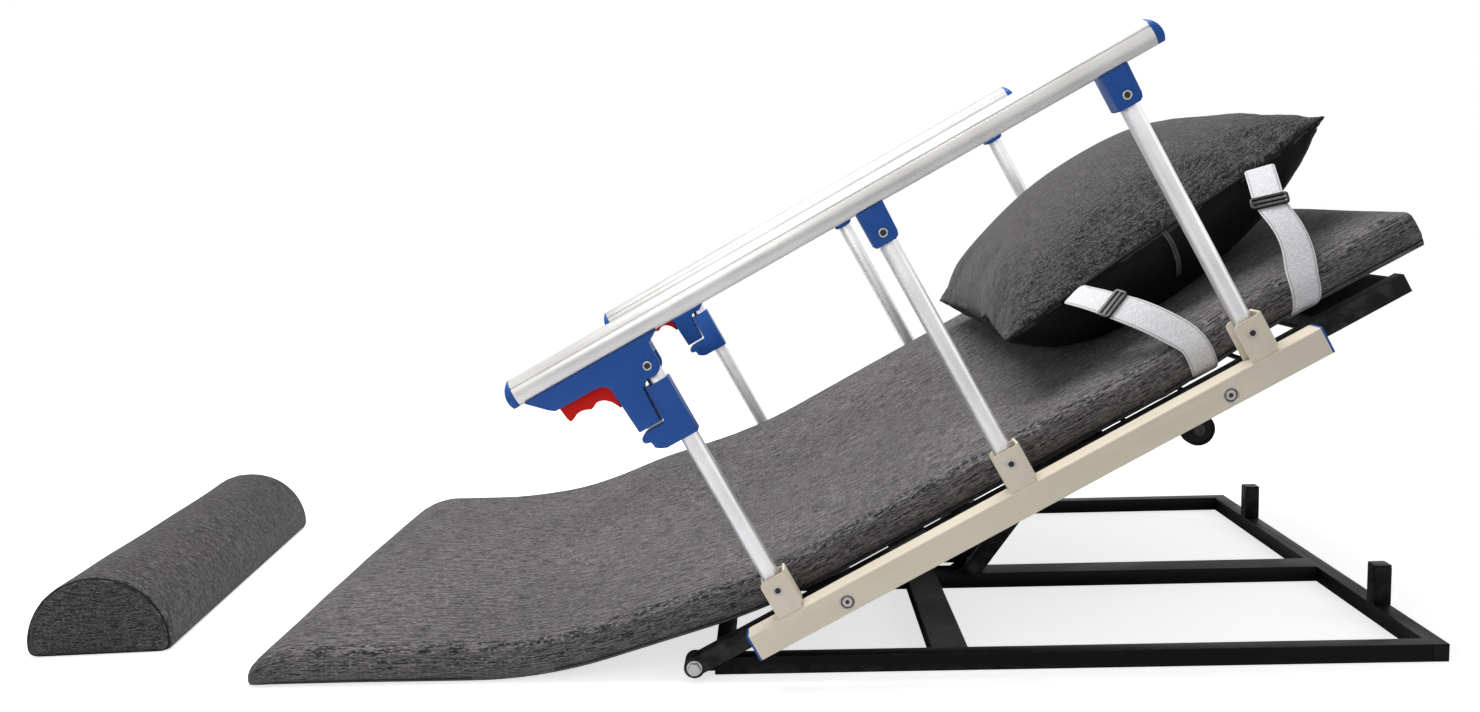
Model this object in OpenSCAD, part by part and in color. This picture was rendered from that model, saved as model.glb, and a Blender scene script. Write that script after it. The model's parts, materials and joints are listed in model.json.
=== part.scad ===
// Electric backrest for a bed: a hinged steel frame on a flat base, folding guard rails,
// one long upholstered pad, a strapped pillow and a loose half-round bolster.
// The origin is on the floor, under the crossing of the base's cross member and its mid-plane.
// X points to the head end, Z up. The backrest is drawn at its raised angle.

/* [Base frame] */
// Length of the base frame from its foot end to its head end
base_l = 800; // [780:5:840]
// Width of the base frame over its side tubes
base_w = 710; // [680:5:740]
// Side of the square frame tube
tube = 20; // [19:0.5:21]
// Wall of every steel tube
tube_wall = 1.5; // [1:0.1:2]
// Width of the flat middle tube and of the cross member
flat_w = 40; // [36:1:42]
// Distance of the middle tube's axis from the mid-plane, to the near side
middle_off = 36.5; // [30:0.5:42]
// Distance of the cross member's axis from the base's foot end
cross_x = 261.5; // [255:0.5:265]
// Height of the two rest posts above the base tubes
post_rise = 46; // [44:0.5:46]
// Distance of each rest post's axis from the mid-plane
post_y = 210; // [190:5:230]

/* [Backrest frame] */
// Angle at which the backrest stands
rest_angle = 28; // [27:0.5:29]
// Distance of the hinge axis from the base's foot end
pivot_back = 21; // [20:0.5:23]
// Height of the hinge axis above the floor
pivot_h = 16; // [15.5:0.5:16.5]
// Length of the backrest's side tubes from the hinge axis
frame_l = 852; // [845:1:865]
// Gap between the base and the backrest's side tubes
side_gap = 1; // [0.8:0.1:1.5]
// Diameter of the hinge bolts
bolt_d = 8; // [7:0.5:8]
// Width of the flat cross tubes
cross_w = 28; // [26:1:30]
// Distance of the lower cross tube from the hinge axis
low_cross_r = 270; // [268:1:272]
// Distance of the upper cross tube from the hinge axis
high_cross_r = 495; // [490:1:500]
// Diameter of the support rods
rod_d = 5.4; // [4:0.2:5.4]
// Distance between the last support rod and the head board
rod_edge = 18; // [16:0.5:21]

/* [Lift] */
// Distance of the lift shaft's axis from the cross member's axis
lift_x = 68.5; // [67:0.5:70]
// Height of the lift shaft's axis above the floor
lift_h = 30; // [29.5:0.5:30.5]
// Length of the lift arms from axis to axis
arm_l = 320; // [319:0.5:321]
// Radius of the lift roller
roller_r = 14; // [13:0.5:14]
// Diameter of the gear motor
motor_d = 36; // [30:1:37]
// Length of the gear motor with its gearbox
motor_l = 160; // [130:5:180]

/* [Guard rails] */
// Distance between the side tube and the guard rail's base tube
spacer_l = 7; // [6:0.5:9]
// Side of the guard rail's square base tube
rail_tube = 30; // [29:0.5:31]
// Length of the guard rail's base tube
rail_tube_l = 665; // [655:5:675]
// Distance of the base tube's foot end from the hinge axis
rail_tube_r = 76; // [74:1:80]
// Length of the top rail without its end caps
top_rail_l = 739; // [730:1:750]
// Distance between neighbouring posts
post_pitch = 276.5; // [274:0.5:278]
// Distance of the foot post from the hinge axis
post_r0 = 127; // [124:0.5:130]
// Length of a post between its two pins
post_l = 273.5; // [265:0.5:280]
// Outer diameter of the posts
post_d = 20; // [19:0.5:20]
// Diameter of the pins
pin_d = 8; // [7:0.5:8]
// Travel of the trigger
trigger_travel = 6; // [4:0.5:7]

/* [Soft parts] */
// Thickness of the pad
pad_t = 39; // [36:1:42]
// Reach of the pad past each side of the base frame
pad_over = 15; // [8:1:17]
// Height by which the pad's far side stands off the frame between the bend and the foot strap
pad_far_rise = 35; // [0:1:38]
// Length of the pad that lies on the floor before it starts to rise
pad_flat_l = 320; // [300:5:340]
// Length of the pillow along the backrest
pillow_l = 415; // [400:5:420]
// Width of the pillow
pillow_w = 570; // [550:5:580]
// Height of the pillow's crown above its seam
pillow_rise = 89; // [80:1:95]
// Height of the pillow's seam above the hinge axis at its foot edge, middle and head edge
seam_heights = [133, 154, 172];
// Width of the webbing straps
strap_w = 30; // [25:1:32]
// Length of the bolster
bolster_l = 605; // [580:5:630]
// Width of the bolster's flat side
bolster_w = 172; // [165:1:178]
// Height of the bolster
bolster_h = 95; // [88:1:98]

/* [Hidden] */

// Fineness of round metal parts and of small ones
$fn = 48;
// Overrun of a cut past the face that it opens
over = 1;
// Gap between two faces that only lie beside each other
near_gap = 0.3;
// Radial clearance of a shaft in its hole
run_gap = 0.06;
// Colours of the photograph
black_steel = [0.09, 0.09, 0.10];
black_plastic = [0.06, 0.06, 0.07];
cream_paint = [0.78, 0.74, 0.67];
blue_plastic = [0.14, 0.32, 0.63];
red_plastic = [0.84, 0.16, 0.10];
silver = [0.80, 0.80, 0.79];
zinc = [0.72, 0.73, 0.74];
fabric = [0.29, 0.29, 0.29];
webbing = [0.90, 0.90, 0.90];

foot_x = -cross_x;
head_x = base_l - cross_x;
pivot_x = foot_x - pivot_back;
half_w = base_w / 2;
// Radius of the round lug and arm ends at the hinge
hinge_r = 11.5;
lug_t = 6;
washer_t = 1.6;
washer_r = 8.5;
bolt_head_t = 6;
bolt_head_af = 13;
bolt_head_bevel = 1.2;
bolt_head_turn = 0.9;
nut_t = 6.5;
bush_wall = 2;
plug_l = 12;
cap_t = 2.5;

// Planes of the backrest frame and of the guard rails, measured from the mid-plane
side_y0 = half_w + side_gap;
side_y1 = side_y0 + tube;
side_y = side_y0 + tube / 2;
rail_y = side_y1 + spacer_l + rail_tube / 2;

// Heights in the backrest's own plane, measured from the hinge axis
frame_top = tube / 2;
cross_h = 14;
cross_low = frame_top - cross_h;
rod_n = frame_top - rod_d / 2 - near_gap;
first_rod_r = high_cross_r - cross_w;
rods = 5;
rod_room = 26;
board_w = 73;
board_drop = 1;
board_r = frame_l - tube - board_w / 2;
second_rod_r = high_cross_r + cross_w / 2 + rod_room;
rod_pitch = (board_r - board_w / 2 - rod_edge - second_rod_r) / (rods - 2);
board_top = frame_top - board_drop;
head_tube_drop = 5;
head_tube_top = frame_top - head_tube_drop;
track_w = 24;
track_t = 8;
track_end = 700;

// The lift arms stand where their roller just clears the track
lift_d = lift_x - pivot_x;
lift_e = lift_h - pivot_h;
roller_gap = 0.4;
roller_n = cross_low - roller_r - roller_gap;
lift_rise = (lift_d * sin(rest_angle) - lift_e * cos(rest_angle) + roller_n) / arm_l;
lift_angle = rest_angle + asin(lift_rise);
arm_t = 6;
arm_y = 25;
arm_root_r = 12;
arm_tip_r = 9;
tie_share = 0.72;
shaft_r = 7;
shaft_end = 12;
axle_r = 5;
roller_w = 34;
groove_d = 2;
tread = 3;
roller_hub = 2.5;
plate_t = 5;
plate_r = lift_h - tube;
plate_reach = 15;
gearbox_l = 46;
gearbox_rib = 0.8;
rib_w = 3;
motor_step = 1.5;
motor_gap = 4;
motor_y0 = arm_y + arm_t / 2 + motor_gap;
socket_l = 14;
inlet_r = 4;
inlet_l = 9;
screw_r = 1.5;
screw_edge = 4;
screw_head_r = 2.8;
screw_head_t = 1.8;

// Guard rail sizes in the backrest's own plane
rail_wall = 1.6;
rail_drop = 17;
rail_low = -rail_drop;
rail_high = rail_low + rail_tube;
rail_edge = 2.5;
plug_edge = 1;
pin_n0 = 41;
pin_n1 = pin_n0 + post_l;
pin_wall = 1.4;
pin_recess = 2;
post_below = 10;
post_above = 6;
cheek_room = 1;
cheek_gap = post_d + 2 * cheek_room;
rail_bolt_inset = 109;
rail_bolt_rs = [rail_tube_r + rail_bolt_inset, rail_tube_r + rail_tube_l - rail_bolt_inset];
rail_bolt_n = rail_low + 12;
rail_bolt_d = 6;
rail_bolt_head_r = 5;
rail_bolt_head_t = 3;
rail_cup_t = 5;
rail_cup_depth = 3.5;
rail_cup_edge = 1;
rail_bolt_key = 4;
spacer_r = 7;
access_r = 8.5;

// Side view of the brackets, in shares of their length and height
bracket_front = 14.5;
bracket_back = 17;
bracket_t = 2.5;
bracket_rise = 16.5;
bracket_shares = [
    [0, 0], [0, 0.854], [0.041, 0.926], [0.159, 0.966], [0.857, 0.966], [0.905, 0.98], [0.937, 1],
    [1, 1], [1, 0.112], [0.921, 0.112], [0.921, 0]
];

// Top rail, its flat seat and its end caps
rail_seat = 28.5;
rail_n = pin_n1 + rail_seat;
rail_round = 17;
rail_cut = 12;
rail_r0 = -9;
rail_groove = 1;
cap_dome = 9;
cap_high_share = 0.32;

// Side view of the clevises round their pin, in shares of their length and height
clevis_w = 28;
clevis_half = 15;
clevis_low = 11.5;
clevis_web = 14;
clevis_wall = 3;
clevis_shares = [[0, 1], [0, 0.05], [0.067, 0], [0.8, 0], [0.917, 0.0625], [0.967, 0.175], [1, 1]];

// Side view of the latch housing round the foot post's pin, in shares of its length and height
housing_w = 30;
housing_nose = 131;
housing_tab = 26;
leg_drop = 56.5;
lobe_r = 13;
lobe_room = 14.4;
housing_open = 11;
housing_shares = [
    [0, 1], [0.115, 0.788], [0.153, 0.735], [0.2, 0.729], [0.446, 0.729], [0.503, 0.714], [0.522, 0.694],
    [0.541, 0.647], [0.548, 0.6], [0.554, 0.376], [0.567, 0], [0.726, 0], [0.736, 0.459], [0.793, 0.533],
    [0.834, 0.665], [0.917, 0.665], [0.917, 0.906], [1, 1]
];

// Trigger between the nose and the leg of the housing, in shares of its length and height
trigger_w = 16;
trigger_room = 0.5;
trigger_back = 103;
trigger_at = -trigger_back;
trigger_l = 57.5;
trigger_drop = 25.5;
trigger_low = -trigger_drop;
slot_roof = 6;
slot_high = rail_seat - slot_roof;
trigger_high = slot_high - trigger_travel - trigger_room;

// Sleeve on the foot post with the hook under the latch leg, in shares of its length and height
socket_w = 26;
socket_low = 189;
socket_h = 65;
socket_back = 12;
hook_reach = 44;
hook_shares = [
    [1, 0], [1, 1], [0.54, 1], [0.54, 0.377], [0.214, 0.377], [0.071, 0.362], [0.018, 0.331], [0, 0.292],
    [0, 0.254], [0.027, 0.223], [0.125, 0.2], [0.143, 0.092], [0.232, 0.038], [0.339, 0]
];
tongue_t = 1.6;
tongue_w = 16;
tongue_l = 18;

// Wheel under each side tube
wheel_at = 595;
wheel_drop = 33;
wheel_n = -wheel_drop;
wheel_r = 17.5;
wheel_w = 12;
wheel_rim = 2.5;
wheel_web = 3;
wheel_hub_r = 8;
wheel_lug_t = 5;
wheel_lug_r = 9;
wheel_bolt_head_r = 6;
wheel_bolt_head_t = 2.6;
wheel_bolt_key = 5.2;

// Pad: it lies flat, rises in a straight slope and then follows the backrest
pad_gap = 2;
pad_seat = frame_top + pad_gap;
pad_corner_back = 169;
pad_corner_x = pivot_x - pad_corner_back;
pad_join_r = 110;
pad_turn = 45;
pad_head_r = 893;
pad_edge = 16;
pad_head_edge = 6;
pad_w = base_w + 2 * pad_over;
pad_far_l = 150;
pad_far_past = 70;
pad_far_r = 500;
pad_lift = 12;
pad_lift_r = 560;
pad_lift_l = 190;
pad_rings = 6;
pad_crown = 3;
edge_steps = 4;
across_shares = [0.75, 0.5, 0.25, 0, -0.25, -0.5, -0.75];
end_shares = [0.02, 0.15, 0.35, 0.65, 1];
pad_tie_w = 44;
pad_tie_t = 1.5;

// Pillow: its middle's distance from the hinge axis, the share that its sides draw in, its belly
pillow_r = 680;
pillow_draw_share = 0.05;
pillow_depth = 112;
pillow_room = 0.8;
pillow_steps = 18;
full_power = 0.46;

// Straps: where they leave the pillow's seam and where they pass the pad's edge
strap_t = 1.6;
strap_gap = 1.2;
strap_start = 2.5;
strap_rs = [562, 805];
strap_edge_rs = [630, 748];
pad_far_end = strap_edge_rs[0] - strap_w / 2;
strap_bulge = 14;
strap_steps = 8;
buckle_step = 3;
buckle_wire = 3;
buckle_over = 9;
buckle_w = 15;
buckle_edge = 4;

// Bolster beside the foot end of the pad
bolster_gap = 259;
bolster_y = 48;
bolster_turn = 4.7;
bolster_side = 10;
bolster_round = 14;
bolster_round_l = 20;
bolster_swell = 1;
bolster_low_share = 0.86;

// Places things drawn in the backrest's own plane: X along it, Z square to it
module on_backrest() {
    translate([pivot_x, 0, pivot_h]) rotate([0, -rest_angle, 0]) children();
}

// Draws children at y and at the mirrored place
module both_sides(y) {
    for (side = [-1, 1]) translate([0, side * y, 0]) children();
}

// Extrudes a profile drawn in X and Z over a width centred on y = 0
module across(w) {
    rotate([90, 0, 0]) linear_extrude(w, center = true) children();
}

// Cylinder across the bed, centred on y = 0
module rod_across(r, w) {
    rotate([90, 0, 0]) cylinder(r = r, h = w, center = true);
}

// Bar given by its low corner and its size
module bar(at, size) {
    translate(at) cube(size);
}

// Rectangle with round corners, given by its low corner
module round_rect(at, size, r) {
    translate(at) {
        translate([r, 0]) square([size[0] - 2 * r, size[1]]);
        translate([0, r]) square([size[0], size[1] - 2 * r]);
        for (u = [r, size[0] - r], v = [r, size[1] - r]) translate([u, v]) circle(r, $fn = 24);
    }
}

// Hexagon of a given width across its flats
module hexagon(af) {
    circle(d = af / cos(30), $fn = 6);
}

// Faces between equal rings of points
function ring_faces(rings, count) = [
    for (i = [0 : rings - 2], j = [0 : count - 1])
        each [
            [i * count + j, (i + 1) * count + j, i * count + (j + 1) % count],
            [i * count + (j + 1) % count, (i + 1) * count + j, (i + 1) * count + (j + 1) % count]
        ]
];

function sum(list) = list * [for (value = list) 1];
function ease(u) = let (v = max(0, min(1, u))) v * v * (3 - 2 * v);

// Points given as shares of a box, from its low corner
function share_points(shares, low, size) = [
    for (p = shares) [low[0] + p[0] * size[0], low[1] + p[1] * size[1]]
];

// Closed skin through equal rings, with a fan over each end
module skin(rings) {
    count = len(rings[0]);
    total = len(rings);
    ends = [for (k = [0, total - 1]) [
        for (axis = [0 : 2]) sum([for (p = rings[k]) p[axis]]) / count
    ]];
    points = concat([for (ring = rings) each ring], ends);
    first = total * count;
    caps = [for (j = [0 : count - 1]) each [
        [first, j, (j + 1) % count],
        [first + 1, (total - 1) * count + (j + 1) % count, (total - 1) * count + j]
    ]];
    polyhedron(points, concat(ring_faces(total, count), caps));
}

// BASE

// Bars of the base frame; inset makes them thinner for the hollow inside
module base_bars(inset) {
    w = tube - 2 * inset;
    flat = flat_w - 2 * inset;
    past = inset > 0 ? over : 0;
    inner = tube / 2;
    for (x = [foot_x, head_x - tube])
        bar([x + inset, -half_w - past, inset], [w, base_w + 2 * past, w]);
    for (y = [-half_w, half_w - tube])
        bar([foot_x + inner, y + inset, inset], [base_l - tube, w, w]);
    bar([foot_x + inner, -middle_off - flat / 2, inset], [base_l - tube, flat, w]);
    bar([-flat / 2, -half_w + inner, inset], [flat, base_w - tube, w]);
}

module base_frame() {
    color(black_steel) difference() {
        base_bars(0);
        base_bars(tube_wall);
    }
}

// Plastic plugs in the four open ends of the base
module base_plugs() {
    w = tube - 2 * tube_wall - 2 * near_gap;
    seat = tube_wall + near_gap;
    color(black_plastic)
        for (x = [foot_x, head_x - tube], y = [-half_w, half_w - plug_l])
            bar([x + seat, y, seat], [w, plug_l, w]);
}

// Two short upright tubes on the head end, on which the lowered backrest rests
module rest_posts() {
    low = -tube / 2;
    thin = tube - 2 * tube_wall;
    color(black_steel) both_sides(post_y) translate([head_x - tube / 2, 0, tube]) difference() {
        bar([low, low, 0], [tube, tube, post_rise]);
        bar([-thin / 2, -thin / 2, tube_wall], [thin, thin, post_rise]);
    }
}

module post_caps() {
    thin = tube - 2 * tube_wall - 2 * near_gap;
    color(black_plastic) both_sides(post_y)
        translate([head_x - tube / 2, 0, tube + post_rise]) {
            linear_extrude(cap_t)
                round_rect([-tube / 2, -tube / 2], [tube, tube], tube_wall);
            translate([-thin / 2, -thin / 2, -plug_l]) cube([thin, thin, plug_l]);
        }
}

// Hinge plates on the foot end of the base, one inside each backrest arm
module hinge_lugs() {
    color(black_steel) both_sides(half_w - lug_t / 2) across(lug_t) difference() {
        union() {
            translate([pivot_x, pivot_h]) circle(hinge_r);
            translate([pivot_x, pivot_h - hinge_r]) square([pivot_back, tube - pivot_h + hinge_r]);
        }
        translate([pivot_x, pivot_h]) circle(bolt_d / 2 + run_gap);
    }
}

// Hexagon bolt with a washer under its head, its axis along Y and its head outside, and its nut
module hinge_bolts() {
    shank_l = washer_t + tube + side_gap + lug_t + nut_t;
    outside = side_y1 + washer_t;
    turned = bolt_head_af / 2 - bolt_head_bevel;
    color(zinc) {
        for (side = [-1, 1]) translate([pivot_x, side * outside, pivot_h]) rotate([-90 * side, 0, 0]) {
            difference() {
                linear_extrude(bolt_head_t) hexagon(bolt_head_af);
                translate([0, 0, bolt_head_t - bolt_head_bevel]) difference() {
                    cylinder(r = bolt_head_af, h = bolt_head_bevel + over);
                    cylinder(r1 = bolt_head_af / 2 + bolt_head_turn, r2 = turned, h = bolt_head_bevel + over);
                }
            }
            translate([0, 0, -washer_t + run_gap]) cylinder(r = washer_r, h = washer_t - run_gap);
            translate([0, 0, -shank_l]) cylinder(d = bolt_d, h = shank_l);
        }
        both_sides(half_w - lug_t - nut_t / 2)
            translate([pivot_x, 0, pivot_h]) across(nut_t) difference() {
                hexagon(bolt_head_af);
                circle(d = bolt_d + 2 * run_gap);
            }
    }
}

// Two plates on the middle tube that carry the lift shaft
module bearing_plates() {
    color(black_steel) translate([lift_x, -middle_off, 0]) both_sides(flat_w / 2 - plate_t / 2)
        across(plate_t) difference() {
            union() {
                translate([0, lift_h]) circle(plate_r);
                polygon([
                    [-plate_r - plate_reach, tube],
                    [plate_r, tube],
                    [plate_r, lift_h],
                    [-plate_r, lift_h]
                ]);
            }
            translate([0, lift_h]) circle(shaft_r + run_gap);
        }
}

// Upright plate on the cross member that holds the gearbox
module motor_bracket() {
    y = motor_y0 + plate_t / 2;
    color(black_steel) translate([0, y - middle_off, 0]) across(plate_t) difference() {
        union() {
            translate([lift_x, lift_h]) circle(motor_d / 2);
            polygon([
                [-flat_w / 2, tube],
                [-flat_w / 2, lift_h],
                [flat_w / 4, lift_h],
                [lift_x, lift_h + motor_d / 2],
                [lift_x, tube]
            ]);
        }
        translate([lift_x, lift_h]) circle(shaft_r + 2 * run_gap);
        for (turn = [45 : 90 : 315])
            translate([lift_x, lift_h]) rotate(turn) translate([motor_d / 2 - screw_edge, 0])
                circle(screw_r + run_gap, $fn = 24);
    }
}

// Gearbox, motor and end cap lie in line with the lift shaft
module along_motor(from) {
    translate([lift_x, motor_y0 + plate_t + from - middle_off, lift_h]) rotate([-90, 0, 0]) children();
}

module gearbox() {
    color(black_steel) along_motor(0) difference() {
        union() {
            cylinder(d = motor_d, h = gearbox_l);
            for (z = [gearbox_l / 4, gearbox_l / 2, gearbox_l * 3 / 4])
                translate([0, 0, z]) cylinder(r = motor_d / 2 + gearbox_rib, h = rib_w);
        }
        translate([0, 0, -over]) cylinder(r = shaft_r + run_gap, h = socket_l + over);
    }
}

module lift_motor() {
    body_l = motor_l - gearbox_l - plug_l;
    color(zinc) along_motor(gearbox_l) cylinder(r = motor_d / 2 - motor_step, h = body_l);
}

// End cap with the round power inlet
module motor_cap() {
    color(black_plastic) along_motor(motor_l - plug_l) difference() {
        cylinder(d = motor_d, h = plug_l);
        translate([0, 0, plug_l - inlet_l]) cylinder(r = inlet_r, h = inlet_l + over);
    }
}

module motor_screws() {
    color(zinc) translate([lift_x, motor_y0 - middle_off, lift_h]) rotate([90, 0, 0])
        for (turn = [45 : 90 : 315]) rotate(turn) translate([motor_d / 2 - screw_edge, 0]) {
            cylinder(r = screw_head_r, h = screw_head_t, $fn = 24);
            translate([0, 0, -plate_t]) cylinder(r = screw_r, h = plate_t, $fn = 24);
        }
}

// PAD

// Slope of the pad between the floor and the backrest
join_x = pivot_x + pad_join_r * cos(rest_angle) - pad_seat * sin(rest_angle);
join_z = pivot_h + pad_join_r * sin(rest_angle) + pad_seat * cos(rest_angle);
slope = atan2(join_z, join_x - pad_corner_x);

// Closed outline of the pad seen from its end, with rounded edges
function pad_outline(w, t) = let (
    edge = min(pad_edge, t * 0.49),
    half = w / 2 - edge,
    corners = [[1, 0, -90], [1, 1, 0], [-1, 1, 90], [-1, 0, 180]]
) [
    for (c = corners) each concat(
        [for (k = [0 : edge_steps]) let (turn = c[2] + 90 * k / edge_steps)
            [c[0] * half + edge * cos(turn), (c[1] > 0 ? t - edge : edge) + edge * sin(turn)]],
        c[0] > 0 && c[1] > 0 ? [for (share = across_shares) [half * share, t]] : [],
        c[0] < 0 && c[1] == 0 ? [for (share = across_shares) [-half * share, 0]] : []
    )
];

// Slight crown on the upper face
function raise_top(p, w, t) = let (share = max(0, 1 - pow(2 * p[0] / w, 2)))
    [p[0], p[1] + (p[1] > t / 2 ? pad_crown * share : 0)];

// Share of the far side's rise that a point across the pad takes
function far_share(y) = ease(2 * y / pad_w);

// Rise of the far side near the floor, by x, and on the backrest, by the distance r along it
function far_foot(x) = pad_far_rise * ease((x - pad_corner_x + pad_far_l) / (pad_far_l + pad_far_past));
function far_back(r) = pad_far_rise * (1 - ease((r - pad_far_r) / (pad_far_end - pad_far_r)));

// One cross-section of the pad at a point of its underside, in world axes, its far side risen
function pad_ring(at, angle, inset, far) = let (w = pad_w - 2 * inset, t = pad_t - 2 * inset) [
    for (p = pad_outline(w, t)) let (q = raise_top(p, w, t), z = q[1] + inset + far * far_share(q[0]))
        [at[0] - z * sin(angle), q[0], at[1] + z * cos(angle)]
];

// Rings on an arc of the pad's underside between two tangent lines
function arc_rings(corner, from, to) = let (
    r = pad_turn / tan((to - from) / 2),
    start = [corner[0] - pad_turn * cos(from), corner[1] - pad_turn * sin(from)],
    mid = [start[0] - r * sin(from), start[1] + r * cos(from)]
) [
    for (k = [0 : pad_rings]) let (
        turn = from + (to - from) * k / pad_rings,
        at = [mid[0] + r * sin(turn), mid[1] - r * cos(turn)]
    ) pad_ring(at, turn, 0, far_foot(at[0]))
];

// Inset of an end ring that lies a share u of the edge radius from the end face
function end_inset(u, edge) = edge * (1 - sqrt(1 - pow(1 - u, 2)));

pad_start_x = pad_corner_x - pad_flat_l;

// Part of the pad that lies flat
module pad_foot() {
    rings = concat(
        [for (u = end_shares) pad_ring([pad_start_x + u * pad_edge, 0], 0, end_inset(u, pad_edge), 0)],
        [for (k = [0 : pad_rings]) let (x = pad_corner_x - pad_far_l + (pad_far_l - pad_turn) * k / pad_rings)
            pad_ring([x, 0], 0, 0, far_foot(x))]
    );
    color(fabric) skin(rings);
}

// Part of the pad that bends as the backrest rises
module pad_bend() {
    rings = concat(
        arc_rings([pad_corner_x, 0], 0, slope),
        arc_rings([join_x, join_z], slope, rest_angle)
    );
    color(fabric) skin(rings);
}

// Height of the pad's underside above the hinge axis, at a distance r along the backrest
function pad_low(r) = pad_seat + pad_lift * ease((r - pad_lift_r) / pad_lift_l);

function back_ring(r, inset) = let (
    n = pad_low(r),
    at = [
        pivot_x + r * cos(rest_angle) - n * sin(rest_angle),
        pivot_h + r * sin(rest_angle) + n * cos(rest_angle)
    ]
) pad_ring(at, rest_angle, inset, far_back(r));

// Part of the pad that lies on the backrest
module pad_back() {
    start = pad_join_r + pad_turn;
    lift_end = pad_lift_r + pad_lift_l;
    last = len(end_shares) - 1;
    rings = concat(
        [back_ring(start, 0)],
        [for (k = [0 : pad_rings]) back_ring(pad_far_r + (pad_far_end - pad_far_r) * k / pad_rings, 0)],
        [for (k = [1 : pad_rings]) back_ring(pad_far_end + (lift_end - pad_far_end) * k / pad_rings, 0)],
        [back_ring((lift_end + pad_head_r) / 2, 0)],
        [for (k = [last : -1 : 0]) let (u = end_shares[k])
            back_ring(pad_head_r - u * pad_head_edge, end_inset(u, pad_head_edge))]
    );
    color(fabric) skin(rings);
}

// Black webbing ties round the side tubes, where the lower crossbar meets them
module pad_ties() {
    inside = tube + 2 * near_gap;
    outside = inside + 2 * pad_tie_t;
    color(black_plastic) on_backrest() for (side = [-1, 1])
        translate([low_cross_r, side * side_y, 0]) rotate([90, 0, 90])
            linear_extrude(pad_tie_w, center = true) difference() {
                square([outside, outside], center = true);
                square([inside, inside], center = true);
                translate([-side * inside / 2, -pad_tie_t])
                    square([4 * pad_tie_t, inside + 2 * pad_tie_t], center = true);
            }
}

// BACKREST FRAME

// Hollow of a side tube; inset 0 gives the outside
module side_bars(inset) {
    w = tube - 2 * inset;
    start = inset > 0 ? hinge_r + inset : 0;
    past = inset > 0 ? over : 0;
    both_sides(side_y) bar([start, -w / 2, -w / 2], [frame_l - start + past, w, w]);
}

// Side tubes with a boss at the hinge and holes for the guard rail's bolts
module backrest_sides() {
    color(black_steel) on_backrest() difference() {
        union() {
            side_bars(0);
            both_sides(side_y) rod_across(hinge_r, tube);
        }
        side_bars(tube_wall);
        both_sides(side_y) rod_across(bolt_d / 2 + bush_wall, tube + 2 * over);
        both_sides(side_y1) for (r = rail_bolt_rs)
            translate([r, 0, rail_bolt_n]) rod_across(rail_bolt_d / 2 + run_gap, 2 * (tube_wall + over));
    }
}

// Crossbars between the side tubes; inset makes the hollow inside
module cross_bars(inset) {
    w = tube - 2 * inset;
    past = inset > 0 ? over : 0;
    span = side_y0 + past;
    for (r = [low_cross_r, high_cross_r])
        bar(
            [r - cross_w / 2 + inset, -span, cross_low + inset],
            [cross_w - 2 * inset, 2 * span, cross_h - 2 * inset]
        );
    bar(
        [frame_l - tube + inset, -span, -tube / 2 + inset],
        [w, 2 * span, tube / 2 + head_tube_top - 2 * inset]
    );
}

module backrest_crossbars() {
    color(black_steel) on_backrest() difference() {
        cross_bars(0);
        cross_bars(tube_wall);
    }
}

// Plugs in the head ends of the side tubes
module frame_plugs() {
    w = tube - 2 * tube_wall - 2 * near_gap;
    color(black_plastic) on_backrest() both_sides(side_y)
        translate([frame_l - plug_l, -w / 2, -w / 2]) cube([plug_l, w, w]);
}

module hinge_bushes() {
    color(silver) on_backrest() both_sides(side_y) difference() {
        rod_across(bolt_d / 2 + bush_wall, tube);
        rod_across(bolt_d / 2 + run_gap, tube + 2 * over);
    }
}

// Thin rods across the frame under the pad, the first one below the upper crossbar
module support_rods() {
    color(black_steel) on_backrest() for (k = [0 : rods - 1])
        translate([k == 0 ? first_rod_r : second_rod_r + (k - 1) * rod_pitch, 0, rod_n])
            rod_across(rod_d / 2, 2 * side_y0);
}

// Wide flat tube under the pad's head end
module head_board() {
    w = board_w - near_gap;
    h = board_top + tube / 2;
    color(black_steel) on_backrest() translate([board_r - board_w / 2, 0, -tube / 2]) difference() {
        translate([0, -side_y0, 0]) cube([w, 2 * side_y0, h]);
        translate([tube_wall, -side_y0 - over, tube_wall])
            cube([w - 2 * tube_wall, 2 * (side_y0 + over), h - 2 * tube_wall]);
    }
}

// Flat bars under which the lift roller runs
module lift_track() {
    r0 = low_cross_r + cross_w / 2;
    r1 = high_cross_r - cross_w / 2;
    r2 = high_cross_r + cross_w / 2;
    color(zinc) on_backrest() translate([0, -middle_off, cross_low]) {
        bar([r0, -track_w / 2, 0], [r1 - r0, track_w, track_t]);
        bar([r2, -track_w / 2, 0], [track_end - r2, track_w, track_t]);
    }
}

// LIFT

// Places things drawn along the arm: X from the shaft to the roller
module on_arm() {
    translate([lift_x, -middle_off, lift_h]) rotate([0, -lift_angle, 0]) children();
}

// Twin arms with a cross tie near the roller
module lift_arms() {
    color(black_steel) on_arm() {
        both_sides(arm_y) across(arm_t) difference() {
            union() {
                circle(arm_root_r);
                translate([arm_l, 0]) circle(arm_tip_r);
                polygon([[0, arm_root_r], [arm_l, arm_tip_r], [arm_l, -arm_tip_r], [0, -arm_root_r]]);
            }
            circle(shaft_r);
            translate([arm_l, 0]) circle(axle_r);
        }
        translate([arm_l * tie_share, 0, 0]) rod_across(arm_tip_r / 2, 2 * arm_y - arm_t);
    }
}

module lift_shaft() {
    y0 = -arm_y - arm_t / 2;
    color(silver) translate([lift_x, y0 - middle_off, lift_h]) rotate([-90, 0, 0])
        cylinder(r = shaft_r, h = motor_y0 + plate_t + shaft_end - y0);
}

module roller_axle() {
    color(silver) on_arm() translate([arm_l, 0, 0]) rod_across(axle_r, 2 * arm_y + arm_t);
}

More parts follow.
